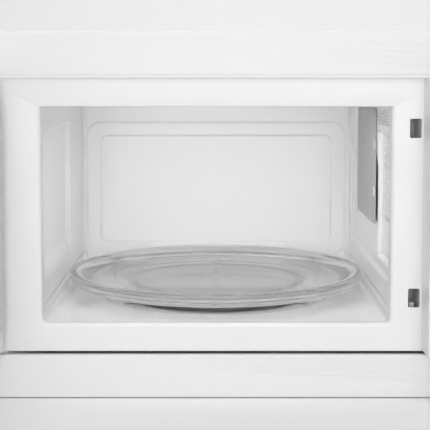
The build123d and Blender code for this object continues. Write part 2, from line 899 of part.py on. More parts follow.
def screen_tabs(y_sheet):
    """Four tabs that carry the screen on the door frame's side walls."""
    x0, x1, z0, z1 = screen_limits()
    tabs = []
    for z in (oven_middle - 60, oven_middle + 60):
        tabs.append(block(door_left + door_wall, x0, y_sheet - screen_sheet, y_sheet, z - 10, z + 10))
    for x in (cavity_shift - 90, cavity_shift + 90):
        tabs.append(block(x - 10, x + 10, y_sheet - screen_sheet, y_sheet, z1, body_top - door_wall))
        tabs.append(block(x - 10, x + 10, y_sheet - screen_sheet, y_sheet, body_bottom + door_wall, z0))
    return tabs


def choke_cover_ring():
    x0, x1, z0, z1 = screen_limits()
    y0 = door_inner - choke_cover
    end = hook_x - hook_thickness / 2 - slot_side
    ring = block(door_left + 4, end, y0, door_inner, body_bottom + 4, body_top - 4)
    reach = choke_width + screen_sheet
    ring -= block(x0 + reach, x1 - reach, y0 - 1, door_inner + 1, z0 + reach, z1 - reach)
    for low, high in ((body_bottom, body_bottom + 24), (body_top - 24, body_top)):
        ring -= block(door_left, pin_x + 11, y0 - 1, door_inner + 1, low, high)
    return ring


def latch_hooks():
    y0 = door_outer + door_wall + 5
    y1 = y0 + 10
    x0 = hook_x - hook_thickness / 2
    x1 = hook_x + hook_thickness / 2
    hooks = block(x0, x1, y0, y1, lower_hook - 6, upper_hook + hook_height + 6)
    hooks += block(spring_peg_x() - 5, x0 + 1, y0, y1, peg_height() - 3, peg_height())
    tip = door_inner + hook_reach
    for z in (lower_hook, upper_hook):
        arm = block(x0, x1, y1 - 1, tip, z, z + hook_height)
        barb = block(x0, x1, tip - 7, tip, z, z + hook_height + hook_barb)
        bevel = z + hook_height + 1
        barb -= block(x0 - 1, x1 + 1, tip - 3, tip + 1, bevel, bevel + hook_barb)
        hooks += arm + barb
    return hooks


def coil(radius, wire, turns, start, axis, length):
    """An open spiral spring of round wire."""
    path = Helix(pitch=length / turns, height=length, radius=radius)
    section = Plane(origin=path @ 0, z_dir=path % 0) * Circle(wire / 2)
    spring = sweep(section, path=path, is_frenet=True)
    return Plane(origin=start, z_dir=axis) * spring


def latch_spring():
    start = (spring_peg_x(), door_outer + door_wall + 10, peg_height() + spring_wire / 2 + 0.1)
    return coil(3.0, spring_wire, spring_turns, start, (0, 0, 1), 40 - spring_wire - 0.2)


def control_fascia():
    z = body_bottom + body_height / 2
    shell = slab(fascia_width, body_height, 4, fascia_middle, z, door_outer, plate_front)
    shell = fillet(shell.faces().sort_by(Axis.Y)[0].edges(), 2.5)
    shell -= slab(fascia_width - 2 * fascia_wall, body_height - 2 * fascia_wall, 2, fascia_middle, z,
                  door_outer + fascia_wall, plate_front + 1)
    pocket = door_outer + window_sheet
    shell -= slab(window_width, window_height, 3, fascia_middle, window_z(), door_outer - 1, pocket)
    shell -= slab(window_width - 8, window_height - 8, 2, fascia_middle, window_z(),
                  door_outer, door_outer + fascia_wall + 1)
    for rise in (timer_rise, power_rise):
        shell -= rod_y(stem_radius + 2, fascia_middle, body_bottom + rise, door_outer - 1, door_outer + 5)
    for x in key_places():
        shell -= slab(key_width + 2 * key_gap, key_height + 2 * key_gap, 2, x, body_bottom + key_rise,
                      door_outer - 1, door_outer + 5)
    shell -= slab(button_width + 2 * key_gap, button_height + 2 * key_gap, 3, fascia_middle, button_z(),
                  door_outer - 1, door_outer + 5)
    for z in (body_bottom + 52, body_top - 8):
        for x in (fascia_left + 10, right - 10):
            shell += rod_y(3, x, z, door_outer + fascia_wall, plate_front - board_depth + 6)
    return shell


def window_z():
    """The height of the display's middle."""
    return body_top - window_drop - window_height / 2


def button_z():
    """The height of the release button's middle."""
    return body_bottom + button_rise + button_height / 2


def key_places():
    """The keys' places across the panel: stop, clock and start."""
    return [fascia_middle - key_pitch, fascia_middle, fascia_middle + key_pitch]


def board_front():
    """The depth of the control board's front face."""
    return plate_front - board_depth + 6


def display_window():
    return slab(window_width - 0.6, window_height - 0.6, 3, fascia_middle, window_z(),
                door_outer + 0.2, door_outer + window_sheet)


def control_board():
    y0 = board_front()
    board = block(fascia_left + 5, right - 5, y0, y0 + board_sheet, body_bottom + 47, body_top - 4)
    relay = block(fascia_left + 16, fascia_left + 38, y0 + board_sheet, y0 + board_sheet + 16,
                  body_top - 60, body_top - 44)
    buzzer = rod_y(8, fascia_left + 60, body_top - 52, y0 + board_sheet, y0 + board_sheet + 9)
    display = block(fascia_middle - 32, fascia_middle + 32, y0 - 7, y0, window_z() - 11, window_z() + 11)
    pads = [board + display, relay, buzzer]
    for x in key_places():
        pads.append(block(x - 3, x + 3, y0 - 6, y0, body_bottom + key_rise - 3, body_bottom + key_rise + 3))
    return pads


def dial(rise):
    """A round dial with a finger bar and a stem that turns in the encoder behind the panel."""
    z = body_bottom + rise
    y1 = door_outer - dial_gap
    y0 = y1 - dial_depth
    skirt = rod_y(dial_radius, fascia_middle, z, y1 - 7, y1)
    cone = Plane(origin=(fascia_middle, y1 - 7, z), z_dir=(0, -1, 0)) * Circle(dial_radius - 2)
    top = Plane(origin=(fascia_middle, y0, z), z_dir=(0, -1, 0)) * Circle(dial_radius - 5)
    knob = skirt + loft([cone, top])
    knob = fillet(knob.faces().sort_by(Axis.Y)[0].edges(), 1.5)
    knob -= block(fascia_middle - 1, fascia_middle + 1, y0 - 1, y0 + 1, z + 4, z + dial_radius - 7)
    return knob + rod_y(stem_radius, fascia_middle, z, y1 - 1, board_front() - 4)


def dial_encoders():
    solids = []
    for rise in (timer_rise, power_rise):
        z = body_bottom + rise
        case = block(fascia_middle - 7, fascia_middle + 7, board_front() - 7, board_front(), z - 7, z + 7)
        neck = rod_y(stem_radius + 1.4, fascia_middle, z, door_outer + fascia_wall + 1, board_front() - 7)
        bore = rod_y(stem_radius + shaft_gap, fascia_middle, z, door_outer, board_front() - 3)
        solids.append(case + neck - bore)
    return solids


def key(x):
    """A push key with a stem that reaches the switch on the board."""
    z = body_bottom + key_rise
    cap = slab(key_width, key_height, 2, x, z, door_outer - 2, door_outer + 4)
    cap = fillet(cap.faces().sort_by(Axis.Y)[0].edges(), 1)
    collar = slab(key_width + 4, key_height + 4, 2, x, z, door_outer + 3, door_outer + 4)
    return cap + collar + rod_y(2, x, z, door_outer + 4, board_front() - 6 - key_travel - running_gap)


def release_button():
    y0 = door_outer - 0.5
    plate = slab(button_width, button_height, 3, fascia_middle, button_z(), y0, y0 + 6)
    plate = fillet(plate.faces().sort_by(Axis.Y)[0].edges(), 1.5)
    z0 = lever_z - lever_drop - 4
    x0 = fascia_left + 14
    stem = block(x0, x0 + stem_width, y0 + 5, lever_y - lever_radius - stem_gap, z0, z0 + 8)
    post = rod_y(spring_radius - 1.4, spring_x(), button_z(), y0 + 5, y0 + 16)
    return plate + stem + post


def spring_x():
    """The place of the release button's spring."""
    return fascia_middle + 14


def button_spring():
    y0 = door_outer - 0.5 + 6 + 0.8
    start = (spring_x(), y0, button_z())
    return coil(spring_radius, spring_wire, spring_turns, start, (0, 1, 0), plate_front - y0 - 0.8)


def release_lever():
    x_hook = hook_x - hook_thickness / 2
    x_stem = fascia_left + 14
    bar = rod_x(lever_radius, lever_y, lever_z, x_hook, x_stem + stem_width)
    lift = block(x_hook, x_hook + hook_thickness, lever_y, lever_y + lever_arm, lever_z - 2, lever_z + 3)
    end = lever_y + lever_arm
    lift += block(x_hook, x_hook + hook_thickness, end - 4, end, lever_z, lower_hook - 2)
    push = block(x_stem, x_stem + stem_width, lever_y - 3, lever_y + 1, lever_z - lever_drop - 3, lever_z)
    return bar + lift + push


def latch_body():
    z0 = lever_z - 8
    z1 = upper_hook + hook_height + hook_barb + 9
    body = block(latch_left, latch_right, plate_back, plate_back + latch_depth, z0, z1)
    wall = latch_wall
    body -= block(latch_left + wall, latch_right - wall, plate_back - 1, plate_back + latch_depth - wall,
                  z0 - 1, lower_hook + hook_height + hook_barb + 5)
    body -= block(latch_left + wall, latch_right - wall, plate_back - 1, plate_back + latch_depth - wall,
                  upper_hook - 5, upper_hook + hook_height + hook_barb + 5)
    body -= block(latch_left + 1.5, latch_right - 1.5, plate_back + 3, plate_back + latch_depth + 1,
                  lower_hook + 24, upper_hook - 12)
    return body - rod_x(lever_radius + shaft_gap, lever_y, lever_z, latch_left + wall + 1, latch_right + 1)


def interlock_switches():
    solids = []
    x0 = latch_right
    for z in (lower_hook + 14, upper_hook - 22, upper_hook - 2):
        solids.append(block(x0, x0 + 10, plate_back + 8, plate_back + 36, z, z + 16))
    return solids


def waveguide():
    y0 = magnetron_y - guide_length / 2
    y1 = magnetron_y + guide_length / 2
    x1 = bay_left + guide_width
    guide = block(bay_left, x1, y0, y1, guide_bottom, guide_top)
    guide -= block(bay_left - 1, x1 - 1, y0 + 1, y1 - 1, guide_bottom + 1, guide_top - 1)
    return guide - rod_z(16, magnetron_x, magnetron_y, guide_bottom - 1, guide_bottom + 2)


def magnetron():
    x0 = magnetron_x - magnetron_width / 2
    x1 = magnetron_x + magnetron_width / 2
    y0 = magnetron_y - magnetron_depth / 2
    y1 = magnetron_y + magnetron_depth / 2
    z1 = guide_bottom
    z0 = z1 - magnetron_height
    yoke = block(x0, x1, y0, y1, z0, z1)
    yoke -= block(x0 + 2, x1 - 2, y0 - 1, y1 + 1, z0 + 2, z1 - 2)
    anode = rod_z(20, magnetron_x, magnetron_y, z0, z1)
    dome = rod_z(12, magnetron_x, magnetron_y, z1, z1 + 24)
    tube = yoke + anode + fillet(dome.faces().sort_by(Axis.Z)[-1].edges(), 5)
    for i in range(9):
        z = z0 + 9 + i * (magnetron_height - 18) / 8
        tube += block(x0 + 1, x1 - 1, y0 + 8, y1 - 8, z - 0.4, z + 0.4)
    return [tube, block(x0 + 14, x1 - 14, y0 + 10, y1 - 10, z0 - 26, z0)]


def transformer_limits():
    """The core's limits: x0, x1, y0, y1."""
    x0 = (bay_left + bay_right - core_width) / 2 + 4
    y0 = 62.0
    return x0, x0 + core_width, y0, y0 + core_depth


def transformer_core():
    x0, x1, y0, y1 = transformer_limits()
    core = block(x0, x1, y0, y1, bay_floor + 3, bay_floor + core_height)
    for x in (x0 + 16, x1 - 16 - 15):
        core -= block(x, x + 15, y0 - 1, y1 + 1, bay_floor + 18, bay_floor + core_height - 15)
    plate = block(x0 - 6, x1 + 6, y0 + 6, y1 - 6, bay_floor, bay_floor + 3)
    return core + plate


def transformer_windings():
    x0, x1, y0, y1 = transformer_limits()
    tongue = (x0 + 31, x1 - 31)
    solids = []
    z = bay_floor + 18.5
    for height in (13, 26):
        coil_block = block(tongue[0] - 14, tongue[1] + 14,
                           y0 - winding_lap, y1 + winding_lap, z, z + height)
        coil_block = fillet(coil_block.edges().filter_by(Axis.Z), 9)
        coil_block -= block(tongue[0], tongue[1], y0 - 0.2, y1 + 0.2, z - 1, z + height + 1)
        solids.append(coil_block)
        z += height + 2
    return solids


def capacitor():
    x = bay_left + 30
    y0 = 190.0
    z = bay_floor + capacitor_radius + 2
    can = rod_y(capacitor_radius, x, z, y0, y0 + capacitor_length)
    band = rod_y(capacitor_radius + 1, x, z, y0 + 40, y0 + 56) - rod_y(capacitor_radius, x, z, y0, y0 + 100)
    foot = block(x + 8, x + 34, y0 + 40, y0 + 56, bay_floor, bay_floor + 1)
    foot += block(x + 8, x + 9.5, y0 + 40, y0 + 56, bay_floor, z - 14)
    foot += block(x - 9, x + 9, y0 + 40, y0 + 56, bay_floor, bay_floor + 1.2)
    return [can, band + foot]


def high_voltage_diode():
    x = bay_left + 66
    y = 215.0
    body = rod_y(diode_radius, x, bay_floor + 6, y, y + 16)
    tab = block(x - 4, x + 4, y + 2, y + 14, bay_floor, bay_floor + 4)
    return body + tab


def fan_shroud():
    y0 = shroud_y
    side = bay_right - sheet_gap - pan_sheet
    plate = block(bay_left + 2, side, y0, y0 + shroud_sheet, bay_floor, bay_ceiling - 1)
    plate -= rod_y(fan_radius + fan_gap, fan_x, fan_z, y0 - 1, y0 + shroud_sheet + 1)
    tube = rod_y(fan_radius + fan_gap + 2, fan_x, fan_z, y0, y0 + fan_depth)
    tube -= rod_y(fan_radius + fan_gap, fan_x, fan_z, y0 - 1, y0 + fan_depth + 1)
    shroud = plate + tube
    for turn in (0, 90, 180, 270):
        bar_y = y0 + fan_depth
        bar = block(fan_x + 14, fan_x + fan_radius + fan_gap + 1, bar_y, bar_y + 2, fan_z - 4, fan_z + 4)
        end = fan_x + fan_radius + 5
        bar += block(end - 1.5, end, bar_y - 2, bar_y + 2, fan_z - 4, fan_z + 4)
        shroud += bar.rotate(Axis((fan_x, 0, fan_z), (0, 1, 0)), turn)
    return shroud


def fan_motor():
    y0 = shroud_y + fan_depth
    bell = rod_y(18, fan_x, fan_z, y0 + 2, y0 + 26)
    stack = block(fan_x - 30, fan_x + 30, y0 + 8, y0 + 22, fan_z - 24, fan_z + 24)
    seat = rod_y(16, fan_x, fan_z, y0, y0 + 3)
    seat -= block(fan_x - 40, fan_x + 40, y0 - 1, y0 + 2, fan_z - 4.1, fan_z + 4.1)
    seat -= block(fan_x - 4.1, fan_x + 4.1, y0 - 1, y0 + 2, fan_z - 40, fan_z + 40)
    return bell + stack + seat - rod_y(fan_shaft + shaft_gap, fan_x, fan_z, y0 - 1, y0 + 28)


def fan_rotor_shaft():
    y0 = shroud_y + fan_depth
    return rod_y(fan_shaft, fan_x, fan_z, shroud_y + 3, y0 + 30)


def fan_impeller():
    y0 = shroud_y + 3
    y1 = shroud_y + fan_depth - 3
    hub = rod_y(fan_hub, fan_x, fan_z, y0, y1)
    wheel = hub
    for i in range(fan_blades):
        blade = block(fan_x + fan_hub - 2, fan_x + fan_radius, y0 + 1, y0 + 2.6, fan_z - 13, fan_z + 13)
        blade = blade.rotate(Axis((fan_x, (y0 + y1) / 2, fan_z), (1, 0, 0)), 25)
        blade &= block(fan_x, fan_x + 60, y0, y1, fan_z - 20, fan_z + 20)
        wheel += blade.rotate(Axis((fan_x, 0, fan_z), (0, 1, 0)), i * 360 / fan_blades)
    wheel &= rod_y(fan_radius, fan_x, fan_z, y0 - 1, y1 + 1)
    return wheel - rod_y(fan_shaft, fan_x, fan_z, y0 - 1, y1 + 1)


def lamp_place():
    """The lamp's y and z."""
    return collar_back + 62, oven_ceiling - 15


def lamp_holder():
    y, z = lamp_place()
    x0 = bay_left
    plate = block(x0, x0 + 1.5, y - 28, y + 28, z - 11, z + 11)
    plate -= block(x0 - 1, x0 + 3, y - 24, y + 24, z - 9, z + 9)
    socket = rod_y(9, x0 + 16, z, y + 14, y + 34)
    arm = block(x0, x0 + 16, y + 24, y + 28, z - 9, z + 9)
    return plate + arm + socket


def oven_lamp():
    y, z = lamp_place()
    bulb = rod_y(lamp_radius, bay_left + 16, z, y - 22, y + 10)
    bulb = fillet(bulb.faces().sort_by(Axis.Y)[0].edges(), 8)
    return bulb + rod_y(7, bay_left + 16, z, y + 10, y + 14)


def turntable_motor():
    z1 = well_floor - cavity_sheet
    body = rod_z(turn_motor_radius, table_x, table_y, z1 - turn_motor_height, z1)
    body += block(table_x - 32, table_x + 32, table_y - 6, table_y + 6, z1 - 1.5, z1)
    return body - rod_z(shaft_radius + shaft_gap, table_x, table_y, z1 - 10, z1 + 1)


def motor_shaft():
    z0 = well_floor - cavity_sheet - 9
    return rod_z(shaft_radius, table_x, table_y, z0, tray_bottom - 4)


def drive_coupler():
    z0 = well_floor + 0.6
    z1 = tray_bottom - 0.8
    coupler = rod_z(coupler_hub, table_x, table_y, z0, z1)
    for turn in (90, 210, 330):
        half = coupler_arm / 2
        arm = block(table_x, table_x + coupler_reach, table_y - half, table_y + half, z1 - 7, z1)
        coupler += arm.rotate(Axis((table_x, table_y, 0), (0, 0, 1)), turn)
    return coupler - rod_z(shaft_radius, table_x, table_y, z0 - 1, tray_bottom - 4)


def glass_tray():
    r = tray_radius
    z = tray_bottom
    top = tray_top
    outline = [
        (0, z), (tray_flat, z), (r - 3, z + 2.5), (r, z + 5), (r, top - 1), (r - 1, top),
        (r - 4, top), (r - 6, top - 1.5), (r - 10, z + tray_glass + 3), (tray_flat - 8, z + tray_glass),
        (0, z + tray_glass),
    ]
    face = Plane.XZ * make_face(Polyline(*outline, close=True))
    tray = Pos(table_x, table_y, 0) * revolve(face, Axis.Z)
    for turn in (30, 150, 270):
        x = table_x + tray_lug_reach * cos(radians(turn))
        y = table_y + tray_lug_reach * sin(radians(turn))
        tray += rod_z(tray_lug_radius, x, y, z - 6, z + 1)
    return tray


def roller_ring():
    z0 = well_floor + 1.2
    ring = rod_z(ring_outer, table_x, table_y, z0, z0 + ring_height)
    ring -= rod_z(ring_inner, table_x, table_y, z0 - 1, z0 + ring_height + 1)
    ends = wheel_track + wheel_width / 2
    for turn in wheel_turns():
        boss = block(table_x + ring_inner + 1, table_x + wheel_track - wheel_width / 2 - running_gap,
                     table_y - 4, table_y + 4, z0, wheel_z + stub_radius + 1.5)
        stub = rod_x(stub_radius, table_y, wheel_z, table_x + ring_outer - 3, table_x + ends + running_gap)
        cap = rod_x(stub_radius + 1, table_y, wheel_z, table_x + ends + running_gap, table_x + ends + 2)
        ring += (boss + stub + cap).rotate(Axis((table_x, table_y, 0), (0, 0, 1)), turn)
    return ring


def wheel_turns():
    """Where the three rollers stand round the ring, in degrees from the right."""
    return (-30, 90, 210)


def roller(turn):
    wheel = rod_x(wheel_radius, table_y, wheel_z, table_x + wheel_track - wheel_width / 2,
                  table_x + wheel_track + wheel_width / 2)
    wheel = fillet(wheel.edges(), 1)
    wheel -= rod_x(stub_radius + shaft_gap, table_y, wheel_z, table_x, table_x + 2 * wheel_track)
    return wheel.rotate(Axis((table_x, table_y, 0), (0, 0, 1)), turn)


def save(name, shape):
    """Writes one named piece, or a group of like pieces, to its own file."""
    shape = Compound(children=list(shape)) if isinstance(shape, (list, tuple)) else shape
    export_step(shape, f"parts/{name}.step")


save("front_plate", front_plate())
save("cavity_wrap", cavity_wrap())
save("cavity_floor", cavity_floor())
save("cavity_back", cavity_back())
save("waveguide_cover", waveguide_cover())
save("cover_clips", cover_clips())
save("outer_case", outer_case())
save("base_pan", base_pan())
save("rear_panel", rear_panel())
save("cable_gland", cable_gland())
save("base_duct", base_duct())
save("appliance_feet", appliance_feet())
save("trim_frame", trim_frame())
save("trim_brackets", trim_brackets())
save("bracket_screws", bracket_screws())
save("case_screws", case_screws())
save("upper_hinge", hinge(False))
save("lower_hinge", hinge(True))
save("hinge_pins", hinge_pins())

save("door_frame", opened(door_frame()))
save("door_glass", opened(door_glass_pane()))
save("door_screen", opened(door_screen()))
save("choke_cover", opened(choke_cover_ring()))
save("hinge_bushes", [opened(bush) for bush in hinge_bushes()])
save("latch_hooks", opened(latch_hooks()))
save("latch_spring", opened(latch_spring()))

save("control_fascia", control_fascia())
save("display_window", display_window())
save("control_board", control_board())
save("dial_encoders", dial_encoders())
save("timer_dial", dial(timer_rise))
save("power_dial", dial(power_rise))
for key_name, key_x in zip(("stop_key", "clock_key", "start_key"), key_places()):
    save(key_name, key(key_x))
save("release_button", release_button())
save("button_spring", button_spring())
save("release_lever", release_lever())
save("latch_body", latch_body())
save("interlock_switches", interlock_switches())

save("waveguide", waveguide())
save("magnetron", magnetron())
save("transformer_core", transformer_core())
save("transformer_windings", transformer_windings())
save("capacitor", capacitor())
save("high_voltage_diode", high_voltage_diode())
save("fan_shroud", fan_shroud())
save("fan_motor", fan_motor())
save("fan_shaft", fan_rotor_shaft())
save("fan_impeller", fan_impeller())
save("lamp_holder", lamp_holder())
save("oven_lamp", oven_lamp())

save("turntable_motor", turntable_motor())
save("motor_shaft", motor_shaft())
save("drive_coupler", drive_coupler())
save("glass_tray", glass_tray())
save("roller_ring", roller_ring())
for number, wheel_turn in enumerate(wheel_turns(), 1):
    save(f"roller_{number}", roller(wheel_turn))
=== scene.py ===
import json
import math

import bmesh
import bpy
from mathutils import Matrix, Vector
from mathutils.geometry import tessellate_polygon


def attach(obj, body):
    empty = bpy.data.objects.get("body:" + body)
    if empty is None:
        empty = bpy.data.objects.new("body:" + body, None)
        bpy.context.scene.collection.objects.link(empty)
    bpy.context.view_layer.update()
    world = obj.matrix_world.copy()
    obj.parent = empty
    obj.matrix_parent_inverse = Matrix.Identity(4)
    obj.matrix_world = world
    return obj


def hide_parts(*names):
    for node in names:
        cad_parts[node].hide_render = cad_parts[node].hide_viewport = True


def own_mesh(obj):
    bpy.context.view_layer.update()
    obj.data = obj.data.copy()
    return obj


# Built-in microwave with its door open. Sizes are in millimetres, in the part's own frame:
# the origin is on the shelf, x runs to the right, y into the cabinet and z up.
MM = 0.001

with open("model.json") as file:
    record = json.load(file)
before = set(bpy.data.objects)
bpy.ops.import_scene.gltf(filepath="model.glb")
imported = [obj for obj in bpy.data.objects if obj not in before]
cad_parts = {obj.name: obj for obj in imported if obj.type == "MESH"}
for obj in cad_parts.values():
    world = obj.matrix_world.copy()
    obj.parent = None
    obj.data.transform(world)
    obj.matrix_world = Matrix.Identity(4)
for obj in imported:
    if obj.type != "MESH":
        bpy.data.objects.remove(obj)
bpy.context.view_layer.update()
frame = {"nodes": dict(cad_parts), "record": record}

# Oven cavity
OVEN_LEFT = -199.5
OVEN_RIGHT = 128.5
OVEN_FLOOR = 71.0
OVEN_CEILING = 275.0
OVEN_BACK = 324.0
OVEN_MIDDLE = (OVEN_LEFT + OVEN_RIGHT) / 2
OVEN_HALF_HEIGHT = (OVEN_FLOOR + OVEN_CEILING) / 2
OVEN_WIDTH = OVEN_RIGHT - OVEN_LEFT
OVEN_HEIGHT = OVEN_CEILING - OVEN_FLOOR
OVEN_CORNER = 6.0
CEILING_CORNER = 1.5
BACK_CORNER = 5.0
TURNUP = 14.0
CAVITY_SHEET = 0.8
WALL_STEP = 1.8

# Front plate, and the opening in it for the control panel
PLATE_FRONT = -8.0
PLATE_SHEET = 1.2
PLATE_BACK = PLATE_FRONT + PLATE_SHEET
PLATE_EDGE = 1.5
PLATE_CORNER = 3.0
PLATE_RIM = 7.7
COLLAR_BACK = 4.0
MOUTH_ROLL = 4.0
TOP_FOLD = 0.25
BODY_WIDTH = 509.0
BODY_HEIGHT = 258.0
BODY_BOTTOM = 44.0
BODY_TOP = BODY_BOTTOM + BODY_HEIGHT
BODY_MIDDLE = BODY_BOTTOM + BODY_HEIGHT / 2
PANEL_X = 206.25
PANEL_HOLE_WIDTH = 87.5
PANEL_HOLE_HEIGHT = 206.0
PANEL_HOLE_Z = 190.0

# A point in the middle of the oven, which the inner faces of its walls look at
OVEN_HEART = (OVEN_MIDDLE, (COLLAR_BACK + OVEN_BACK) / 2, OVEN_HALF_HEIGHT)

# Turntable
TABLE_X = -35.5
TABLE_Y = 153.5
WELL_RADIUS = 117.0
WELL_SLOPE = 7.0
WELL_DEPTH = 4.0
TRAY_RADIUS = 157.5
TRAY_BOTTOM = 82.6
TRAY_TOP = 97.0
TRAY_GLASS = 5.0
DISC_RADIUS = 98.5
# Radii of a darker band on the tray glass, painted shade for the shadowed slopes of the well seen through it
PAINTED_SHADE_INNER = 113.0
PAINTED_SHADE_OUTER = 123.0
RIM_INNER = 144.0
WHEEL_TURNS = (-30, 90, 210)
WHEEL_TRACK = 105.0
WHEEL_RADIUS = 7.5
WHEEL_HEIGHT = 74.8
WHEEL_HALF = 4.5
RING_INNER = 88.0
RING_OUTER = 98.0
RING_BOTTOM = 68.2
RING_HEIGHT = 5.0


class Field:
    """A value that varies over a surface, written as ordinary arithmetic."""

    def __init__(self, tree, socket=None):
        self.tree = tree
        self.socket = socket

    def make(self, kind, settings=None, inputs=None, output=0):
        """Adds a node: its settings first, then its values and links."""
        node = self.tree.nodes.new(kind)
        for name, value in (settings or {}).items():
            setattr(node, name, value)
        for name, value in (inputs or {}).items():
            if isinstance(value, Field):
                self.tree.links.new(value.socket, node.inputs[name])
            else:
                node.inputs[name].default_value = value
        return Field(self.tree, node.outputs[output])

    def maths(self, operation, *values):
        """Works a sum out on the surface, from fields and numbers."""
        return self.make("ShaderNodeMath", {"operation": operation}, dict(enumerate(values)))

    def __add__(self, other):
        return self.maths("ADD", self, other)

    def __radd__(self, other):
        return self.maths("ADD", other, self)

    def __sub__(self, other):
        return self.maths("SUBTRACT", self, other)

    def __rsub__(self, other):
        return self.maths("SUBTRACT", other, self)

    def __mul__(self, other):
        return self.maths("MULTIPLY", self, other)

    def __rmul__(self, other):
        return self.maths("MULTIPLY", other, self)

    def __truediv__(self, other):
        return self.maths("DIVIDE", self, other)

    def __gt__(self, other):
        return self.maths("GREATER_THAN", self, other)

    def __lt__(self, other):
        return self.maths("LESS_THAN", self, other)

    def clipped(self):
        """This value, held between 0 and 1."""
        return self.make("ShaderNodeClamp", None, {"Value": self})

    def tint(self, low, high):
        """A colour between two colours, as this value runs from 0 to 1."""
        inputs = {"Factor": self, 6: (*low, 1), 7: (*high, 1)}
        return self.make("ShaderNodeMix", {"data_type": "RGBA"}, inputs, 2)

    def noise(self, scale, detail, stretch=(1, 1, 1)):
        """Cloudy noise, with this field as the place it is read from."""
        place = self.make("ShaderNodeVectorMath", {"operation": "MULTIPLY"}, {0: self, 1: stretch})
        inputs = {"Vector": place, "Scale": scale, "Detail": detail}
        return self.make("ShaderNodeTexNoise", None, inputs)

    def cells(self, scale, output, feature="F1"):
        """Cells like the crystals of zinc plating."""
        inputs = {"Vector": self, "Scale": scale}
        return self.make("ShaderNodeTexVoronoi", {"feature": feature}, inputs, output)

    def bump(self, depth, strength):
        """The surface normal that this height gives, with its depth in millimetres."""
        inputs = {"Height": self, "Distance": depth * MM, "Strength": strength}
        return self.make("ShaderNodeBump", None, inputs)


class Finish:
    """A material under construction: its shader and the place on the surface."""

    def __init__(self, name):
        self.material = bpy.data.materials.new(name)
        self.material.use_nodes = True
        self.tree = self.material.node_tree
        self.shader = self.tree.nodes["Principled BSDF"]
        start = Field(self.tree)
        self.place = start.make("ShaderNodeTexCoord", None, None, "Object")

    def set(self, **values):
        """Sets the shader's sockets. An underscore in a name stands for a space."""
        for name, value in values.items():
            socket = self.shader.inputs[name.replace("_", " ")]
            if isinstance(value, Field):
                self.tree.links.new(value.socket, socket)
            elif isinstance(value, tuple):
                socket.default_value = (*value, 1)
            else:
                socket.default_value = value
        return self.material


# How much of the light behind a glass is held back
SHEET_GLASS_ALPHA = 0.5
TRAY_ALPHA = 0.7
RIM_ALPHA = 0.95


def enamel(name, white):
    """Fired enamel: glossy, with the soft ripple and faint specks of a sprayed glaze."""
    finish = Finish(name)
    ripple = finish.place.noise(90, 3)
    cloud = finish.place.noise(9, 2)
    specks = finish.place.noise(1500, 0) > 0.74
    tone = cloud * 0.6 + ripple * 0.3 + specks * -0.25 + 0.1
    low = (white - 0.02, white - 0.02, white - 0.022)
    colour = tone.clipped().tint(low, (white,) * 3)
    roughness = cloud * 0.05 + 0.06
    normal = ripple.bump(0.01, 0.6)
    return finish.set(Base_Color=colour, Roughness=roughness, Normal=normal, IOR=1.52)


def powder_paint(name, white):
    """Sprayed and baked paint with a fine orange peel."""
    finish = Finish(name)
    peel = finish.place.noise(420, 3)
    cloud = finish.place.noise(12, 2)
    colour = (cloud * 0.7 + peel * 0.3).tint((white - 0.02,) * 3, (white,) * 3)
    roughness = peel * 0.1 + 0.27
    return finish.set(Base_Color=colour, Roughness=roughness, Normal=peel.bump(0.03, 0.5))


def moulded(name, low, high, roughness=0.38, grain=0.03):
    """Moulded plastic with a fine spark-eroded grain."""
    finish = Finish(name)
    fine = finish.place.noise(900, 3)
    cloud = finish.place.noise(15, 2)
    colour = (cloud * 0.6 + fine * 0.4).tint(low, high)
    rough = cloud * 0.08 + fine * 0.06 + (roughness - 0.07)
    return finish.set(Base_Color=colour, Roughness=rough, Normal=fine.bump(grain, 0.6))


def plated(name, low, high, scale):
    """Zinc-plated sheet with its crystals and fine rolling lines."""
    finish = Finish(name)
    crystal = finish.place.cells(scale, "Color")
    shade = crystal.make("ShaderNodeSeparateColor", None, {"Color": crystal})
    lines = finish.place.noise(60, 3, (1, 14, 14))
    cloud = finish.place.noise(14, 3)
    tone = (shade * 0.45 + lines * 0.3 + cloud * 0.35).clipped()
    rough = shade * 0.12 + cloud * 0.08 + 0.26
    normal = lines.bump(0.01, 0.5)
    return finish.set(Base_Color=tone.tint(low, high), Roughness=rough, Metallic=0.85, Normal=normal)


def bare_metal(name, low, high, roughness, stretch, scale=220):
    """Bare metal with fine working marks."""
    finish = Finish(name)
    marks = finish.place.noise(scale, 4, stretch)
    tone = marks.tint(low, high)
    rough = marks * 0.2 + (roughness - 0.1)
    return finish.set(Base_Color=tone, Roughness=rough, Metallic=1.0, Normal=marks.bump(0.01, 0.5))


def mica_sheet():
    """Pressed mica board: pale grey with fine flakes that catch the light."""
    finish = Finish("mica")
    flakes = finish.place.cells(420, "Color")
    glint = flakes.make("ShaderNodeSeparateColor", None, {"Color": flakes})
    cloud = finish.place.noise(30, 4)
    tone = glint * 0.35 + cloud * 0.65
    colour = tone.tint((0.46, 0.46, 0.457), (0.60, 0.60, 0.595))
    rough = glint * 0.25 + 0.38
    return finish.set(Base_Color=colour, Roughness=rough, Normal=glint.bump(0.02, 0.4))


def rubber():
    """Black rubber with a dull, dusty skin."""
    finish = Finish("rubber")
    dust = finish.place.noise(300, 4)
    colour = dust.tint((0.012, 0.012, 0.013), (0.035, 0.035, 0.036))
    return finish.set(Base_Color=colour, Roughness=dust * 0.2 + 0.6, Normal=dust.bump(0.03, 0.5))


def clear_glass(name, tint):
    """Clear glass with a faint colour and the slight waves of pressing."""
    finish = Finish(name)
    waves = finish.place.noise(45, 2)
    colour = waves.tint(tuple(c - 0.015 for c in tint), tint)
    finish.set(Base_Color=colour, Roughness=waves * 0.02 + 0.02, IOR=1.5, Transmission_Weight=1.0)
    return finish.set(Normal=waves.bump(0.02, 0.5), Alpha=SHEET_GLASS_ALPHA)


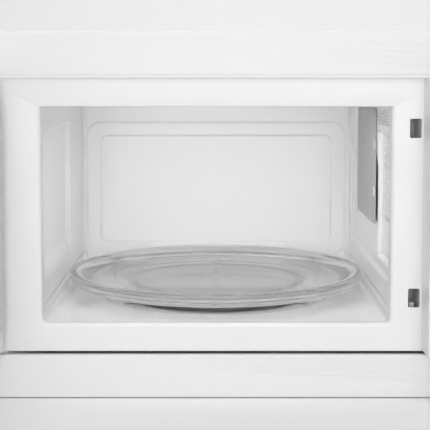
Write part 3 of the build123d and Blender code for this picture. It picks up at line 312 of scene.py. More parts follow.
def tray_glass():
    """Clear pressed glass, with a fine stipple under its middle disc. The disc and a band round it are tinted
    darker as painted shade: the shade under the tray and on the well's slopes, seen through the glass.

    The thick rim hides more of what is behind it than the flat middle does.
    """
    finish = Finish("tray_glass")
    middle = (TABLE_X * MM, TABLE_Y * MM, 0)
    arm = finish.place.make("ShaderNodeVectorMath", {"operation": "SUBTRACT"}, {0: finish.place, 1: middle})
    x = arm.make("ShaderNodeSeparateXYZ", None, {"Vector": arm}, 0)
    y = arm.make("ShaderNodeSeparateXYZ", None, {"Vector": arm}, 1)
    square = (x * x + y * y) / (MM * MM)
    disc = square < DISC_RADIUS ** 2
    band = (square > PAINTED_SHADE_INNER ** 2) * (square < PAINTED_SHADE_OUTER ** 2)
    # Painted shade: the disc and the band round it are tinted darker for the shade under the tray and on the
    # well's slopes
    shade = (disc + band * 0.8).clipped()
    stipple = finish.place.noise(700, 2)
    colour = shade.tint((0.965, 0.975, 0.972), (0.80, 0.815, 0.81))
    rough = disc * (stipple * 0.06 + 0.06) + 0.015
    alpha = (square > RIM_INNER ** 2) * (RIM_ALPHA - TRAY_ALPHA) + TRAY_ALPHA
    return finish.set(Base_Color=colour, Roughness=rough, IOR=1.5, Transmission_Weight=1.0, Alpha=alpha)


def dark_glass():
    """The smoked window over the display."""
    finish = Finish("display_glass")
    cloud = finish.place.noise(25, 2)
    colour = cloud.tint((0.006, 0.007, 0.008), (0.012, 0.013, 0.015))
    return finish.set(Base_Color=colour, Roughness=cloud * 0.05 + 0.05, Coat_Weight=0.5)


def circuit_board():
    """Green solder mask with fine tracks under it."""
    finish = Finish("board")
    tracks = finish.place.cells(160, "Distance", "DISTANCE_TO_EDGE") < 0.08
    cloud = finish.place.noise(40, 2)
    tone = (tracks * 0.6 + cloud * 0.3).clipped()
    colour = tone.tint((0.01, 0.09, 0.03), (0.03, 0.2, 0.07))
    return finish.set(Base_Color=colour, Roughness=cloud * 0.1 + 0.3, Normal=tracks.bump(0.03, 0.5))


# The front plate's enamel is a darker copy of the oven's white, only to hold down how bright the plate comes
# out under the lights: painted shade
WHITE_ENAMEL_PAINTED_SHADE = enamel("white_enamel", 0.85)
OVEN_ENAMEL = enamel("oven_enamel", 0.96)
WHITE_PAINT = powder_paint("white_paint", 0.82)
WHITE_PLASTIC = moulded("white_plastic", (0.76, 0.76, 0.755), (0.82, 0.82, 0.815))
DIAL_PLASTIC = moulded("dial_plastic", (0.70, 0.70, 0.695), (0.77, 0.77, 0.765), 0.32, 0.015)
GREY_STEEL = plated("case_steel", (0.42, 0.43, 0.44), (0.62, 0.63, 0.64), 150)
ZINC_STEEL = plated("zinc_steel", (0.46, 0.47, 0.48), (0.72, 0.73, 0.74), 90)
MICA = mica_sheet()
RUBBER = rubber()
DISPLAY_GLASS = dark_glass()
BOARD = circuit_board()
DARK_PLASTIC = moulded("dark_plastic", (0.015, 0.015, 0.016), (0.03, 0.03, 0.031), 0.45)
SPRING_STEEL = bare_metal("spring_steel", (0.35, 0.35, 0.36), (0.55, 0.55, 0.56), 0.28, (1, 1, 12))
ALUMINIUM = bare_metal("aluminium", (0.72, 0.73, 0.74), (0.86, 0.87, 0.88), 0.32, (1, 8, 1))
CORE_STEEL = bare_metal("core_steel", (0.16, 0.17, 0.19), (0.34, 0.35, 0.37), 0.42, (1, 30, 1), 150)
COPPER = bare_metal("copper", (0.62, 0.26, 0.12), (0.80, 0.40, 0.22), 0.3, (1, 1, 20), 160)
# Near-black ring plastic: painted shade for the dark gap under the tray's front rim
RING_PLASTIC_PAINTED_SHADE = moulded("ring_plastic_painted_shade", (0.07, 0.07, 0.071), (0.10, 0.10, 0.101), 0.4, 0.02)
GREY_PLASTIC = moulded("grey_plastic", (0.62, 0.63, 0.63), (0.72, 0.73, 0.73), 0.34, 0.02)
LAMP_GLASS = clear_glass("lamp_glass", (0.95, 0.95, 0.93))
DOOR_GLASS = clear_glass("door_glass", (0.90, 0.92, 0.91))
CHOKE_PLASTIC = moulded("choke_plastic", (0.60, 0.60, 0.60), (0.68, 0.68, 0.68), 0.42)
TRAY_GLASS_FINISH = tray_glass()

SLOT_FINISHES = {
    "white_enamel": WHITE_ENAMEL_PAINTED_SHADE,
    "white_paint": WHITE_PAINT,
    "white_plastic": WHITE_PLASTIC,
    "grey_steel": GREY_STEEL,
    "zinc_steel": ZINC_STEEL,
    "mica": MICA,
    "black_rubber": RUBBER,
    "dark_glass": DISPLAY_GLASS,
    "circuit_board": BOARD,
    "dark_plastic": DARK_PLASTIC,
    "spring_steel": SPRING_STEEL,
    "aluminium": ALUMINIUM,
    "core_steel": CORE_STEEL,
    "copper": COPPER,
    "grey_plastic": GREY_PLASTIC,
    "lamp_glass": LAMP_GLASS,
    "door_glass": DOOR_GLASS,
    "choke_plastic": CHOKE_PLASTIC,
    "tray_glass": TRAY_GLASS_FINISH,
}


class Shape:
    """The points and faces of one piece, in millimetres."""

    def __init__(self):
        self.points = []
        self.faces = []

    def ring(self, points):
        """Adds points and returns their numbers."""
        start = len(self.points)
        self.points.extend(Vector(p) for p in points)
        return list(range(start, len(self.points)))

    def strip(self, a, b, closed=True):
        """A band of faces between two rings with as many points."""
        for i in range(len(a) if closed else len(a) - 1):
            j = (i + 1) % len(a)
            self.faces.append((a[i], a[j], b[j], b[i]))

    def loft(self, rings, closed=True, capped=False):
        """Joins rings one after the other, with a flat face over both ends if it is capped."""
        made = [self.ring(points) for points in rings]
        for a, b in zip(made, made[1:]):
            self.strip(a, b, closed)
        if capped:
            self.faces.append(tuple(reversed(made[0])))
            self.faces.append(tuple(made[-1]))
        return self

    def fill(self, loops):
        """A flat face with holes. The first loop is its edge."""
        start = len(self.points)
        loops = [[Vector(p) for p in loop] for loop in loops]
        for loop in loops:
            self.ring(loop)
        for corners in tessellate_polygon(loops):
            self.faces.append(tuple(start + i for i in corners))
        return self

    def plate(self, edge, holes, low, high, bevel, place):
        """A plate between two heights. edge and holes give their outline, widened by a distance."""
        arc = [(bevel * (1 - math.sin(t)), bevel * (1 - math.cos(t))) for t in quarter(3)]
        steps = [(inset, low + rise) for inset, rise in arc]
        steps += [(inset, high - rise) for inset, rise in reversed(arc)]
        for outline, way in [(edge, -1)] + [(hole, 1) for hole in holes]:
            rings = []
            for inset, height in steps:
                rings.append([place(u, v, height) for u, v in outline(way * inset)])
            self.loft(rings)
        for height in (low, high):
            loops = [[place(u, v, height) for u, v in edge(-bevel)]]
            for hole in holes:
                loops.append([place(u, v, height) for u, v in hole(bevel)])
            self.fill(loops)
        return self

    def perforated(self, u0, v0, columns, rows, pitch, radius, place):
        """A rectangle of sheet with rows of round holes. Returns the rectangle's edge."""
        half = pitch / 2
        arms = [(math.cos(math.pi / 4 * k), math.sin(math.pi / 4 * k)) for k in range(8)]
        for i in range(columns):
            for j in range(rows):
                u = u0 + (i + 0.5) * pitch
                v = v0 + (j + 0.5) * pitch
                cell = [place(u + round(a) * half, v + round(b) * half) for a, b in arms]
                hole = [place(u + radius * a, v + radius * b) for a, b in arms]
                self.loft([cell, hole])
        u1 = u0 + columns * pitch
        v1 = v0 + rows * pitch
        edge = [(u0 + i * half, v0) for i in range(2 * columns)]
        edge += [(u1, v0 + j * half) for j in range(2 * rows)]
        edge += [(u1 - i * half, v1) for i in range(2 * columns)]
        edge += [(u0, v1 - j * half) for j in range(2 * rows)]
        return [place(a, b) for a, b in edge]

    def lathe(self, profile, x, y, steps, closed=True):
        """Turns a profile of radius and height round an upright axis."""
        rings = []
        for radius, height in profile:
            ring = []
            for i in range(steps):
                t = 2 * math.pi * i / steps
                ring.append((x + radius * math.cos(t), y + radius * math.sin(t), height))
            rings.append(ring)
        if closed:
            rings.append(rings[0])
        return self.loft(rings)

    def piece(self, name, body, finish, stands_for, sharp=35, towards=None, sheet=0):
        """Makes the piece, which moves with a body and stands for CAD nodes.

        Edges sharper than an angle in degrees stay crisp. A bare sheet faces a point and is
        thickened on its far side.
        """
        mesh = bpy.data.meshes.new(name)
        mesh.from_pydata([p * MM for p in self.points], [], self.faces)
        work = bmesh.new()
        work.from_mesh(mesh)
        bmesh.ops.remove_doubles(work, verts=work.verts, dist=0.002 * MM)
        bmesh.ops.recalc_face_normals(work, faces=work.faces)
        if towards is not None and faces_away(work, Vector(towards) * MM):
            bmesh.ops.reverse_faces(work, faces=work.faces)
        work.to_mesh(mesh)
        work.free()
        mesh.polygons.foreach_set("use_smooth", [True] * len(mesh.polygons))
        mesh.set_sharp_from_angle(angle=math.radians(sharp))
        made = bpy.data.objects.new(name, mesh)
        bpy.context.scene.collection.objects.link(made)
        mesh.materials.append(finish)
        if sheet:
            solid = made.modifiers.new("sheet", "SOLIDIFY")
            solid.thickness = sheet * MM
            solid.offset = -1
        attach(made, body)
        if stands_for:
            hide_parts(*stands_for)
        return made


def faces_away(work, point):
    """True if most of the surface faces away from a point."""
    turned = 0.0
    for face in work.faces:
        turned += face.normal.dot(point - face.calc_center_median()) * face.calc_area()
    return turned < 0


def quarter(steps):
    """Angles from 0 to a right angle."""
    return [math.pi / 2 * i / steps for i in range(steps + 1)]


def spaced(start, end, step):
    """Even steps from start to end, no longer than step."""
    count = max(1, math.ceil(abs(end - start) / step))
    return [start + (end - start) * i / count for i in range(count + 1)]


def eased(t):
    """Runs from 0 to 1 with soft ends."""
    t = min(1.0, max(0.0, t))
    return t * t * (3 - 2 * t)


def rounded(width, height, corner, x, z, steps=8, top=None):
    """A rounded rectangle's outline, as a function of how much it is widened.

    Its upper corners may have a radius of their own.
    """

    def outline(by=0.0):
        half_w = width / 2 + by
        half_h = height / 2 + by
        points = []
        for turn, (sx, sz) in enumerate(((1, 1), (-1, 1), (-1, -1), (1, -1))):
            r = max(0.05, by + (corner if top is None or sz < 0 else top))
            for t in quarter(steps):
                a = t + turn * math.pi / 2
                cx = x + sx * (half_w - r)
                cz = z + sz * (half_h - r)
                points.append((cx + r * math.cos(a), cz + r * math.sin(a)))
        return points

    return outline


def cornered(corners, steps=4):
    """An outline of straight sides at right angles, as a function of how much it is widened.

    Each corner is x, z and radius, and they run anticlockwise.
    """

    def outline(by=0.0):
        points = []
        for k, (x, z, radius) in enumerate(corners):
            before = Vector(corners[k - 1][:2])
            here = Vector((x, z))
            after = Vector(corners[(k + 1) % len(corners)][:2])
            way_in = (here - before).normalized()
            way_out = (after - here).normalized()
            side_in = Vector((way_in.y, -way_in.x))
            side_out = Vector((way_out.y, -way_out.x))
            outward = 1 if way_in.cross(way_out) > 0 else -1
            r = max(0.05, radius + outward * by)
            centre = here + (by - outward * r) * (side_in + side_out)
            for t in quarter(steps):
                arm = math.cos(t) * side_in + math.sin(t) * side_out
                points.append(tuple(centre + outward * r * arm))
        return points

    return outline


def round_hole(radius, x, z, steps):
    """A circle's outline, as a function of how much it is widened."""

    def outline(by=0.0):
        r = radius + by
        turns = [2 * math.pi * i / steps for i in range(steps)]
        return [(x + r * math.cos(t), z + r * math.sin(t)) for t in turns]

    return outline


def front(x, z, y):
    """The place of a point on a piece that faces the front."""
    return (x, y, z)


def side_on(y, z, x):
    """The place of a point on a piece that stands against a side wall."""
    return (x, y, z)


mouth = rounded(OVEN_WIDTH, OVEN_HEIGHT, OVEN_CORNER, OVEN_MIDDLE, OVEN_HALF_HEIGHT, 8, CEILING_CORNER)

# Where the door's hooks enter the front plate
HOOK_X = 150.6
HOOK_WIDTH = 11.0
LOWER_HOOK = 90.0
UPPER_HOOK = 250.0
HOOK_SLOT_HEIGHT = 18.0
HOOK_SLOT_RISE = 5.0
HOOK_SLOT_CORNER = 1.5


def lip(by):
    """The mouth's outline on the front plate. Its top is folded tighter than its sides."""
    top = OVEN_CEILING
    return [(x, z if z < top else top + TOP_FOLD * (z - top)) for x, z in mouth(by)]


def front_plate():
    """The enamelled plate round the oven mouth, rolled into it."""
    shape = Shape()
    edge = rounded(BODY_WIDTH, BODY_HEIGHT, PLATE_CORNER, 0, BODY_MIDDLE)
    holes = []
    for z in (LOWER_HOOK, UPPER_HOOK):
        z += HOOK_SLOT_RISE
        holes.append(rounded(HOOK_WIDTH, HOOK_SLOT_HEIGHT, HOOK_SLOT_CORNER, HOOK_X, z, 3))
    holes.append(rounded(PANEL_HOLE_WIDTH, PANEL_HOLE_HEIGHT, 2, PANEL_X, PANEL_HOLE_Z, 3))
    for y, inset in ((PLATE_FRONT, PLATE_EDGE), (PLATE_BACK, PLATE_SHEET)):
        loops = [[front(x, z, y) for x, z in edge(-inset)]]
        loops.append([front(x, z, y) for x, z in lip(MOUTH_ROLL)])
        for hole in holes:
            loops.append([front(x, z, y) for x, z in hole()])
        shape.fill(loops)
    for hole in holes:
        shape.loft([[front(x, z, y) for x, z in hole()] for y in (PLATE_FRONT, PLATE_BACK)])
    side = []
    for t in quarter(4):
        side.append((-PLATE_EDGE * (1 - math.sin(t)), PLATE_FRONT + PLATE_EDGE * (1 - math.cos(t))))
    rim = PLATE_FRONT + PLATE_RIM
    side += [(0, rim), (-PLATE_SHEET, rim), (-PLATE_SHEET, PLATE_BACK)]
    shape.loft([[front(x, z, y) for x, z in edge(by)] for by, y in side])
    roll = []
    back = []
    for t in quarter(8):
        by = MOUTH_ROLL * (1 - math.sin(t))
        y = PLATE_FRONT + MOUTH_ROLL * (1 - math.cos(t))
        roll.append((by, y))
        back.append((by + PLATE_SHEET * math.sin(t), y + PLATE_SHEET * math.cos(t)))
    profile = roll + [(0, COLLAR_BACK), (PLATE_SHEET, COLLAR_BACK)] + list(reversed(back))
    shape.loft([[front(x, z, y) for x, z in lip(by)] for by, y in profile])
    # The plate takes the darker copy of the enamel white, as painted shade
    return shape.piece("enamel_front_plate", "root", WHITE_ENAMEL_PAINTED_SHADE, ["front_plate"], 40)


# Pressed panels in the side walls
PANEL_FRONT = 12.0
PANEL_BACK = 196.0
PANEL_EDGE = 6.0
PANEL_BOTTOM = 135.0
PANEL_TOP = 245.0
PANEL_SLOPE = 29.0
PANEL_DEPTH = 5.0
VENT_BACK = 91.0
VENT_BOTTOM = 122.0
VENT_TOP = 245.0
VENT_EDGE = 3.0
VENT_LIP = 2.0
VENT_DEPTH = 6.0
SHELF_BOTTOM = 105.0
SHELF_TOP = 228.0
SHELF_BACK = 300.0
SHELF_DEPTH = 2.0
SHELF_SLOPE = 7.0
SHELF_FADE = 23.0
AIR_PATCH = (27.0, 79.0, 161.0, 243.0)
LAMP_PATCH = (8.0, 87.0, 253.0, 270.0)
HOLE_RADIUS = 0.8
HOLE_PITCH = 2.7
HOLE_MARGIN = 1.0
PRESS_CORNER = 6.0
PRESS_FAR = 3.0
PRESS_FLOOR = 0.12


def pressing(y, z, limits, edges):
    """How far down a pressed panel a point lies, from 0 on the wall to 1 on its floor.

    The slopes of neighbouring edges run softly into each other at the panel's corners.
    """
    y0, y1, z0, z1 = limits
    depths = [(y - y0) / edges[0], (y1 - y) / edges[1], (z - z0) / edges[2], (z1 - z) / edges[3]]
    if min(depths) <= 0:
        return 0.0
    softened = sum(math.exp(-PRESS_CORNER * min(d, PRESS_FAR)) for d in depths)
    return eased(-math.log(softened) / PRESS_CORNER + PRESS_FLOOR)


def left_pressing(y, z):
    """The depth of the left wall's panel, which has a long slope at its foot."""
    across = (PANEL_FRONT - PANEL_EDGE, PANEL_BACK + PANEL_EDGE)
    upright = (PANEL_BOTTOM - PANEL_SLOPE, PANEL_TOP + PANEL_EDGE)
    return PANEL_DEPTH * pressing(y, z, across + upright, (PANEL_EDGE, PANEL_EDGE, PANEL_SLOPE, PANEL_EDGE))


def right_pressing(y, z):
    """The depth of the right wall's shelf along the oven and of its vent panel."""
    shelf = (PANEL_FRONT - PANEL_EDGE, SHELF_BACK, SHELF_BOTTOM, SHELF_TOP)
    depth = SHELF_DEPTH * pressing(y, z, shelf, (PANEL_EDGE, PANEL_EDGE, SHELF_SLOPE, SHELF_FADE))
    vent = (PANEL_FRONT - PANEL_EDGE, VENT_BACK, VENT_BOTTOM - VENT_LIP, VENT_TOP + VENT_LIP)
    return max(depth, VENT_DEPTH * pressing(y, z, vent, (PANEL_EDGE, VENT_EDGE, VENT_LIP, VENT_LIP)))


def wall_path():
    """The section of the two side walls and the ceiling: points, inward directions and sides."""
    foot = OVEN_FLOOR + TURNUP
    top = OVEN_CEILING - CEILING_CORNER
    path = [(OVEN_LEFT, z, 1, 0, "left") for z in spaced(foot, top, WALL_STEP)]
    for t in quarter(4)[1:]:
        c, s = math.cos(t), math.sin(t)
        x = OVEN_LEFT + CEILING_CORNER * (1 - c)
        path.append((x, top + CEILING_CORNER * s, c, -s, ""))
    for x in spaced(OVEN_LEFT + CEILING_CORNER, OVEN_RIGHT - CEILING_CORNER, 12)[1:]:
        path.append((x, OVEN_CEILING, 0, -1, ""))
    for t in quarter(4)[1:]:
        c, s = math.cos(t), math.sin(t)
        x = OVEN_RIGHT - CEILING_CORNER * (1 - s)
        path.append((x, top + CEILING_CORNER * c, -s, -c, ""))
    path += [(OVEN_RIGHT, z, -1, 0, "right") for z in spaced(top, foot, WALL_STEP)[1:]]
    return path


def depth_stations():
    """Places along the walls, and how far they have curved in towards the back wall."""
    stations = [(y, 0.0) for y in spaced(COLLAR_BACK, OVEN_BACK - BACK_CORNER, WALL_STEP)]
    for t in quarter(6)[1:]:
        y = OVEN_BACK - BACK_CORNER + BACK_CORNER * math.sin(t)
        stations.append((y, BACK_CORNER * (1 - math.cos(t))))
    return stations


def wall_point(spot, y, inset):
    """The place of a point of the wall's section at a station, with the panels pressed in."""
    x, z, nx, nz, side = spot
    if side == "left":
        x -= left_pressing(y, z)
    if side == "right":
        x += right_pressing(y, z)
    return (x + nx * inset, y, z + nz * inset)


def patch_cells(path, stations, limits):
    """The cells of the wall's grid that a perforated patch takes the place of."""
    y0, y1, z0, z1 = limits
    rows = [k for k, station in enumerate(stations) if y0 <= station[0] <= y1]
    columns = [i for i, spot in enumerate(path) if spot[4] == "right" and z0 <= spot[1] <= z1]
    return rows[0], rows[-1], columns[0], columns[-1]


def perforate(shape, path, stations, cells):
    """Fills a patch of the right wall with sheet that has rows of round holes."""
    k0, k1, i0, i1 = cells
    rim = [(k, i0) for k in range(k0, k1)] + [(k1, i) for i in range(i0, i1)]
    rim += [(k, i1) for k in range(k1, k0, -1)] + [(k0, i) for i in range(i1, i0, -1)]
    edge = [wall_point(path[i], *stations[k]) for k, i in rim]
    ys = [p[1] for p in edge]
    zs = [p[2] for p in edge]
    columns = int((max(ys) - min(ys) - HOLE_MARGIN) / HOLE_PITCH)
    rows = int((max(zs) - min(zs) - HOLE_MARGIN) / HOLE_PITCH)
    y0 = (max(ys) + min(ys) - columns * HOLE_PITCH) / 2
    z0 = (max(zs) + min(zs) - rows * HOLE_PITCH) / 2
    x = edge[0][0]
    inner = shape.perforated(y0, z0, columns, rows, HOLE_PITCH, HOLE_RADIUS, lambda u, v: side_on(u, v, x))
    shape.fill([edge, inner])


def cavity_wrap():
    """Side walls and ceiling in one bent sheet, with the panels pressed into it."""
    shape = Shape()
    path = wall_path()
    stations = depth_stations()
    patches = [patch_cells(path, stations, limits) for limits in (AIR_PATCH, LAMP_PATCH)]
    grid = [shape.ring([wall_point(spot, y, inset) for spot in path]) for y, inset in stations]
    for k in range(len(grid) - 1):
        for i in range(len(path) - 1):
            if not any(k0 <= k < k1 and i0 <= i < i1 for k0, k1, i0, i1 in patches):
                shape.faces.append((grid[k][i], grid[k][i + 1], grid[k + 1][i + 1], grid[k + 1][i]))
    for cells in patches:
        perforate(shape, path, stations, cells)
    return shape.piece("oven_walls", "root", OVEN_ENAMEL, ["cavity_wrap"], 50,
                       OVEN_HEART, CAVITY_SHEET)


def floor_path():
    """The section of the floor with its turned-up sides."""
    low = OVEN_FLOOR + OVEN_CORNER
    path = [(OVEN_LEFT, z, 1, 0) for z in (OVEN_FLOOR + TURNUP, low)]
    for t in quarter(6)[1:]:
        c, s = math.cos(t), math.sin(t)
        path.append((OVEN_LEFT + OVEN_CORNER * (1 - c), low - OVEN_CORNER * s, c, s))
    for x in spaced(OVEN_LEFT + OVEN_CORNER, OVEN_RIGHT - OVEN_CORNER, WALL_STEP)[1:]:
        path.append((x, OVEN_FLOOR, 0, 1))
    for t in quarter(6)[1:]:
        c, s = math.cos(t), math.sin(t)
        path.append((OVEN_RIGHT - OVEN_CORNER * (1 - s), low - OVEN_CORNER * c, -s, c))
    path.append((OVEN_RIGHT, OVEN_FLOOR + TURNUP, -1, 0))
    return path


def well(x, y):
    """The depth of the turntable's well at a point of the floor."""
    r = math.hypot(x - TABLE_X, y - TABLE_Y)
    return WELL_DEPTH * eased((WELL_RADIUS + WELL_SLOPE - r) / WELL_SLOPE)


def cavity_floor():
    """The floor sheet with the turntable's well pressed into it."""
    shape = Shape()
    path = floor_path()
    rings = []
    for y, inset in depth_stations():
        ring = []
        for x, z, nx, nz in path:
            drop = well(x, y) if nz == 1 else 0.0
            ring.append((x + nx * inset, y, z + nz * inset - drop))
        rings.append(ring)
    shape.loft(rings, closed=False)
    return shape.piece("oven_floor", "root", OVEN_ENAMEL, ["cavity_floor"], 50,
                       OVEN_HEART, CAVITY_SHEET)


# Steps pressed into the back wall
STEP_WIDTH = 320.0
STEP_BOTTOM = 80.3
STEP_TOP = 247.7
STEP_CORNER = 18.0
STEP_DEPTH = 3.0
STEP_RAMP = 2.4
STEP_LEAD = 2.0
STEP_ZONE = 34.0
STEP_GRID = 0.8
STEP_MARGIN = 16.5
INNER_CORNER = 10.0
BACK_CLEARANCE = 0.05


def inside_rounded(x, z, width, height, corner, cx, cz):
    """How far a point lies inside a rounded rectangle."""
    dx = abs(x - cx) - (width / 2 - corner)
    dz = abs(z - cz) - (height / 2 - corner)
    outside = math.hypot(max(dx, 0), max(dz, 0))
    return corner - outside - min(max(dx, dz), 0)


def back_depth(x, z):
    """How far the back wall's two nested steps set a point back."""
    height = STEP_TOP - STEP_BOTTOM
    cz = (STEP_TOP + STEP_BOTTOM) / 2
    outer = inside_rounded(x, z, STEP_WIDTH, height, STEP_CORNER, OVEN_MIDDLE, cz)
    inner_width = STEP_WIDTH - 2 * STEP_MARGIN
    inner = inside_rounded(x, z, inner_width, height - 2 * STEP_MARGIN, INNER_CORNER, OVEN_MIDDLE, cz)
    return STEP_DEPTH * (eased(outer / STEP_RAMP) + eased(inner / STEP_RAMP))


def back_stations(low, high, first, last):
    """Places across the back wall, close together where its steps and their corners are."""
    near = spaced(first - STEP_LEAD, first + STEP_ZONE, STEP_GRID)
    far = spaced(last - STEP_ZONE, last + STEP_LEAD, STEP_GRID)
    before = spaced(low, near[0], 3)[:-1]
    between = spaced(near[-1], far[0], 6)[1:-1]
    after = spaced(far[-1], high, 3)[1:]
    return before + near + between + far + after


def cavity_back():
    """The back wall, a sheet with two nested steps."""
    shape = Shape()
    rings = []
    half = STEP_WIDTH / 2
    across = back_stations(OVEN_LEFT, OVEN_RIGHT, OVEN_MIDDLE - half, OVEN_MIDDLE + half)
    for z in back_stations(OVEN_FLOOR, OVEN_CEILING, STEP_BOTTOM, STEP_TOP):
        rings.append([(x, OVEN_BACK + BACK_CLEARANCE + back_depth(x, z), z) for x in across])
    shape.loft(rings, closed=False)
    return shape.piece("oven_back", "root", OVEN_ENAMEL, ["cavity_back"], 50,
                       (OVEN_MIDDLE, 0, OVEN_HALF_HEIGHT), CAVITY_SHEET)


# Waveguide cover
COVER_FRONT = 90.0
COVER_BACK = 231.0
COVER_TOP = 271.0
COVER_BOTTOM = 151.5
COVER_X = 128.0
COVER_SHEET = 1.0
COVER_CORNER = 7.0
CLIP_HEIGHTS = (185.6, 233.6)
CLIP_WIDTH = 7.5
CLIP_HEIGHT = 9.0
CLIP_OVERHANG = 1.2
CLIP_HEAD = 1.5


def waveguide_cover():
    """The mica board over the waveguide's mouth in the right wall."""
    shape = Shape()
    outline = rounded(COVER_BACK - COVER_FRONT, COVER_TOP - COVER_BOTTOM, COVER_CORNER,
                      (COVER_BACK + COVER_FRONT) / 2, (COVER_TOP + COVER_BOTTOM) / 2)
    shape.plate(outline, [], COVER_X - COVER_SHEET, COVER_X, 0.15, side_on)
    return shape.piece("mica_cover", "root", MICA, ["waveguide_cover"])


def cover_clips():
    """The heads of the two clips that hold the cover's front edge."""
    shape = Shape()
    face = COVER_X - COVER_SHEET
    for z in CLIP_HEIGHTS:
        head = rounded(CLIP_WIDTH, CLIP_HEIGHT, 1.5, COVER_FRONT + CLIP_OVERHANG, z, 4)
        shape.plate(head, [], face - CLIP_HEAD, face - 0.05, 0.5, side_on)
    return shape.piece("cover_clips_moulded", "root", WHITE_PLASTIC, ["cover_clips"])


# Steps and ribs of the glass tray
RING_RADIUS = 110.0
FLAT_RADIUS = 133.0
RIM_RIBS = 180
RIB_DEPTH = 0.18
TRAY_STEPS = 1080
LUG_TURNS = (30, 150, 270)
LUG_REACH = 17.0
LUG_BOTTOM = 76.6


def tray_profile():
    """The tray's section from the middle of its top, over the rim, to the middle of its underside."""
    base = TRAY_BOTTOM + TRAY_GLASS
    step = base + 1.0
    top = [
        (0.01, base - 1.0), (DISC_RADIUS - 1.2, base - 1.0), (DISC_RADIUS - 0.6, base - 0.85),
        (DISC_RADIUS + 0.4, base - 0.15), (DISC_RADIUS + 1.0, base), (RING_RADIUS - 1.0, base),
        (RING_RADIUS - 0.3, base + 0.15), (RING_RADIUS + 0.8, base + 0.85), (RING_RADIUS + 1.5, step),
        (FLAT_RADIUS - 2, step), (FLAT_RADIUS + 1, step + 0.3), (FLAT_RADIUS + 4, step + 1.2),
    ]
    rim = [
        (TRAY_RADIUS - 12, TRAY_TOP - 2.0), (TRAY_RADIUS - 8.5, TRAY_TOP - 0.7),
        (TRAY_RADIUS - 5, TRAY_TOP), (TRAY_RADIUS - 2.6, TRAY_TOP - 0.1),
        (TRAY_RADIUS - 1.0, TRAY_TOP - 0.7), (TRAY_RADIUS, TRAY_TOP - 2.0),
        (TRAY_RADIUS, TRAY_TOP - 5.2), (TRAY_RADIUS - 0.9, TRAY_TOP - 6.4),
        (TRAY_RADIUS - 1.6, TRAY_TOP - 6.9),
    ]
    under = [
        (TRAY_RADIUS - 1.9, TRAY_TOP - 10.0), (TRAY_RADIUS - 2.6, TRAY_TOP - 12.0),
        (TRAY_RADIUS - 4.4, TRAY_TOP - 12.9), (TRAY_RADIUS - 8, TRAY_BOTTOM + 1.0),
        (FLAT_RADIUS + 8, TRAY_BOTTOM + 0.3), (FLAT_RADIUS + 2, TRAY_BOTTOM), (0.01, TRAY_BOTTOM),
    ]
    return top, rim, under


def glass_tray():
    """The pressed glass tray, with ribs round its rim and three lugs that the coupler turns."""
    shape = Shape()
    top, rim, under = tray_profile()
    rings = []
    ribbed = set(range(len(top) + 4, len(top) + len(rim)))
    for k, (radius, height) in enumerate(top + rim + under):
        ring = []
        for i in range(TRAY_STEPS):
            t = 2 * math.pi * i / TRAY_STEPS
            r = radius
            if k in ribbed:
                r -= RIB_DEPTH * (0.5 + 0.5 * math.cos(RIM_RIBS * t))
            ring.append((TABLE_X + r * math.cos(t), TABLE_Y + r * math.sin(t), height))
        rings.append(ring)
    shape.loft(rings)
    root = TRAY_BOTTOM + 0.4
    lug = [
        (0.01, LUG_BOTTOM), (2.6, LUG_BOTTOM), (3.3, LUG_BOTTOM + 0.6), (3.5, LUG_BOTTOM + 1.6),
        (3.7, root), (0.01, root),
    ]
    for degrees in LUG_TURNS:
        x, y = turned(TABLE_X + LUG_REACH, TABLE_Y, degrees)
        shape.lathe(lug, x, y, 24, closed=False)
    return shape.piece("pressed_glass_tray", "tray", TRAY_GLASS_FINISH, ["glass_tray"], 60)


def turned(x, y, degrees):
    """A point turned about the turntable's axis."""
    t = math.radians(degrees)
    dx = x - TABLE_X
    dy = y - TABLE_Y
    return (TABLE_X + dx * math.cos(t) - dy * math.sin(t), TABLE_Y + dx * math.sin(t) + dy * math.cos(t))


def wheel_bar(shape, profile, degrees, steps=40):
    """Turns a profile of distance from the table's axis and radius round a roller's own axis."""
    rings = []
    for distance, radius in profile:
        ring = []
        for i in range(steps):
            t = 2 * math.pi * i / steps
            x, y = turned(TABLE_X + distance, TABLE_Y + radius * math.cos(t), degrees)
            ring.append((x, y, WHEEL_HEIGHT + radius * math.sin(t)))
        rings.append(ring)
    rings.append(rings[0])
    shape.loft(rings)


def roller_ring():
    """The ring under the tray, with a groove in its top and a stub for each roller."""
    shape = Shape()
    low = RING_BOTTOM
    high = RING_BOTTOM + RING_HEIGHT
    section = [
        (RING_INNER + 1, low), (RING_OUTER - 1, low), (RING_OUTER, low + 1), (RING_OUTER, high - 1.2),
        (RING_OUTER - 1.2, high), (RING_OUTER - 3.4, high), (RING_OUTER - 3.8, high - 1.4),
        (RING_INNER + 3.8, high - 1.4), (RING_INNER + 3.4, high), (RING_INNER + 1.2, high),
        (RING_INNER, high - 1.2), (RING_INNER, low + 1),
    ]
    shape.lathe(section, TABLE_X, TABLE_Y, 180)
    end = WHEEL_TRACK + WHEEL_HALF
    for degrees in WHEEL_TURNS:
        boss = [
            (RING_INNER + 1, 0.05), (RING_INNER + 1, 2.6), (RING_INNER + 1.6, 3.4), (RING_OUTER + 1.4, 3.4),
            (RING_OUTER + 1.9, 2.6), (RING_OUTER + 1.9, 1.9), (end + 0.3, 1.9), (end + 0.5, 2.8),
            (end + 1.6, 2.4), (end + 1.9, 0.05),
        ]
        wheel_bar(shape, boss, degrees)
    # The ring's near-black finish is painted shade for the gap under the tray
    return shape.piece("moulded_roller_ring", "ring", RING_PLASTIC_PAINTED_SHADE, ["roller_ring"])


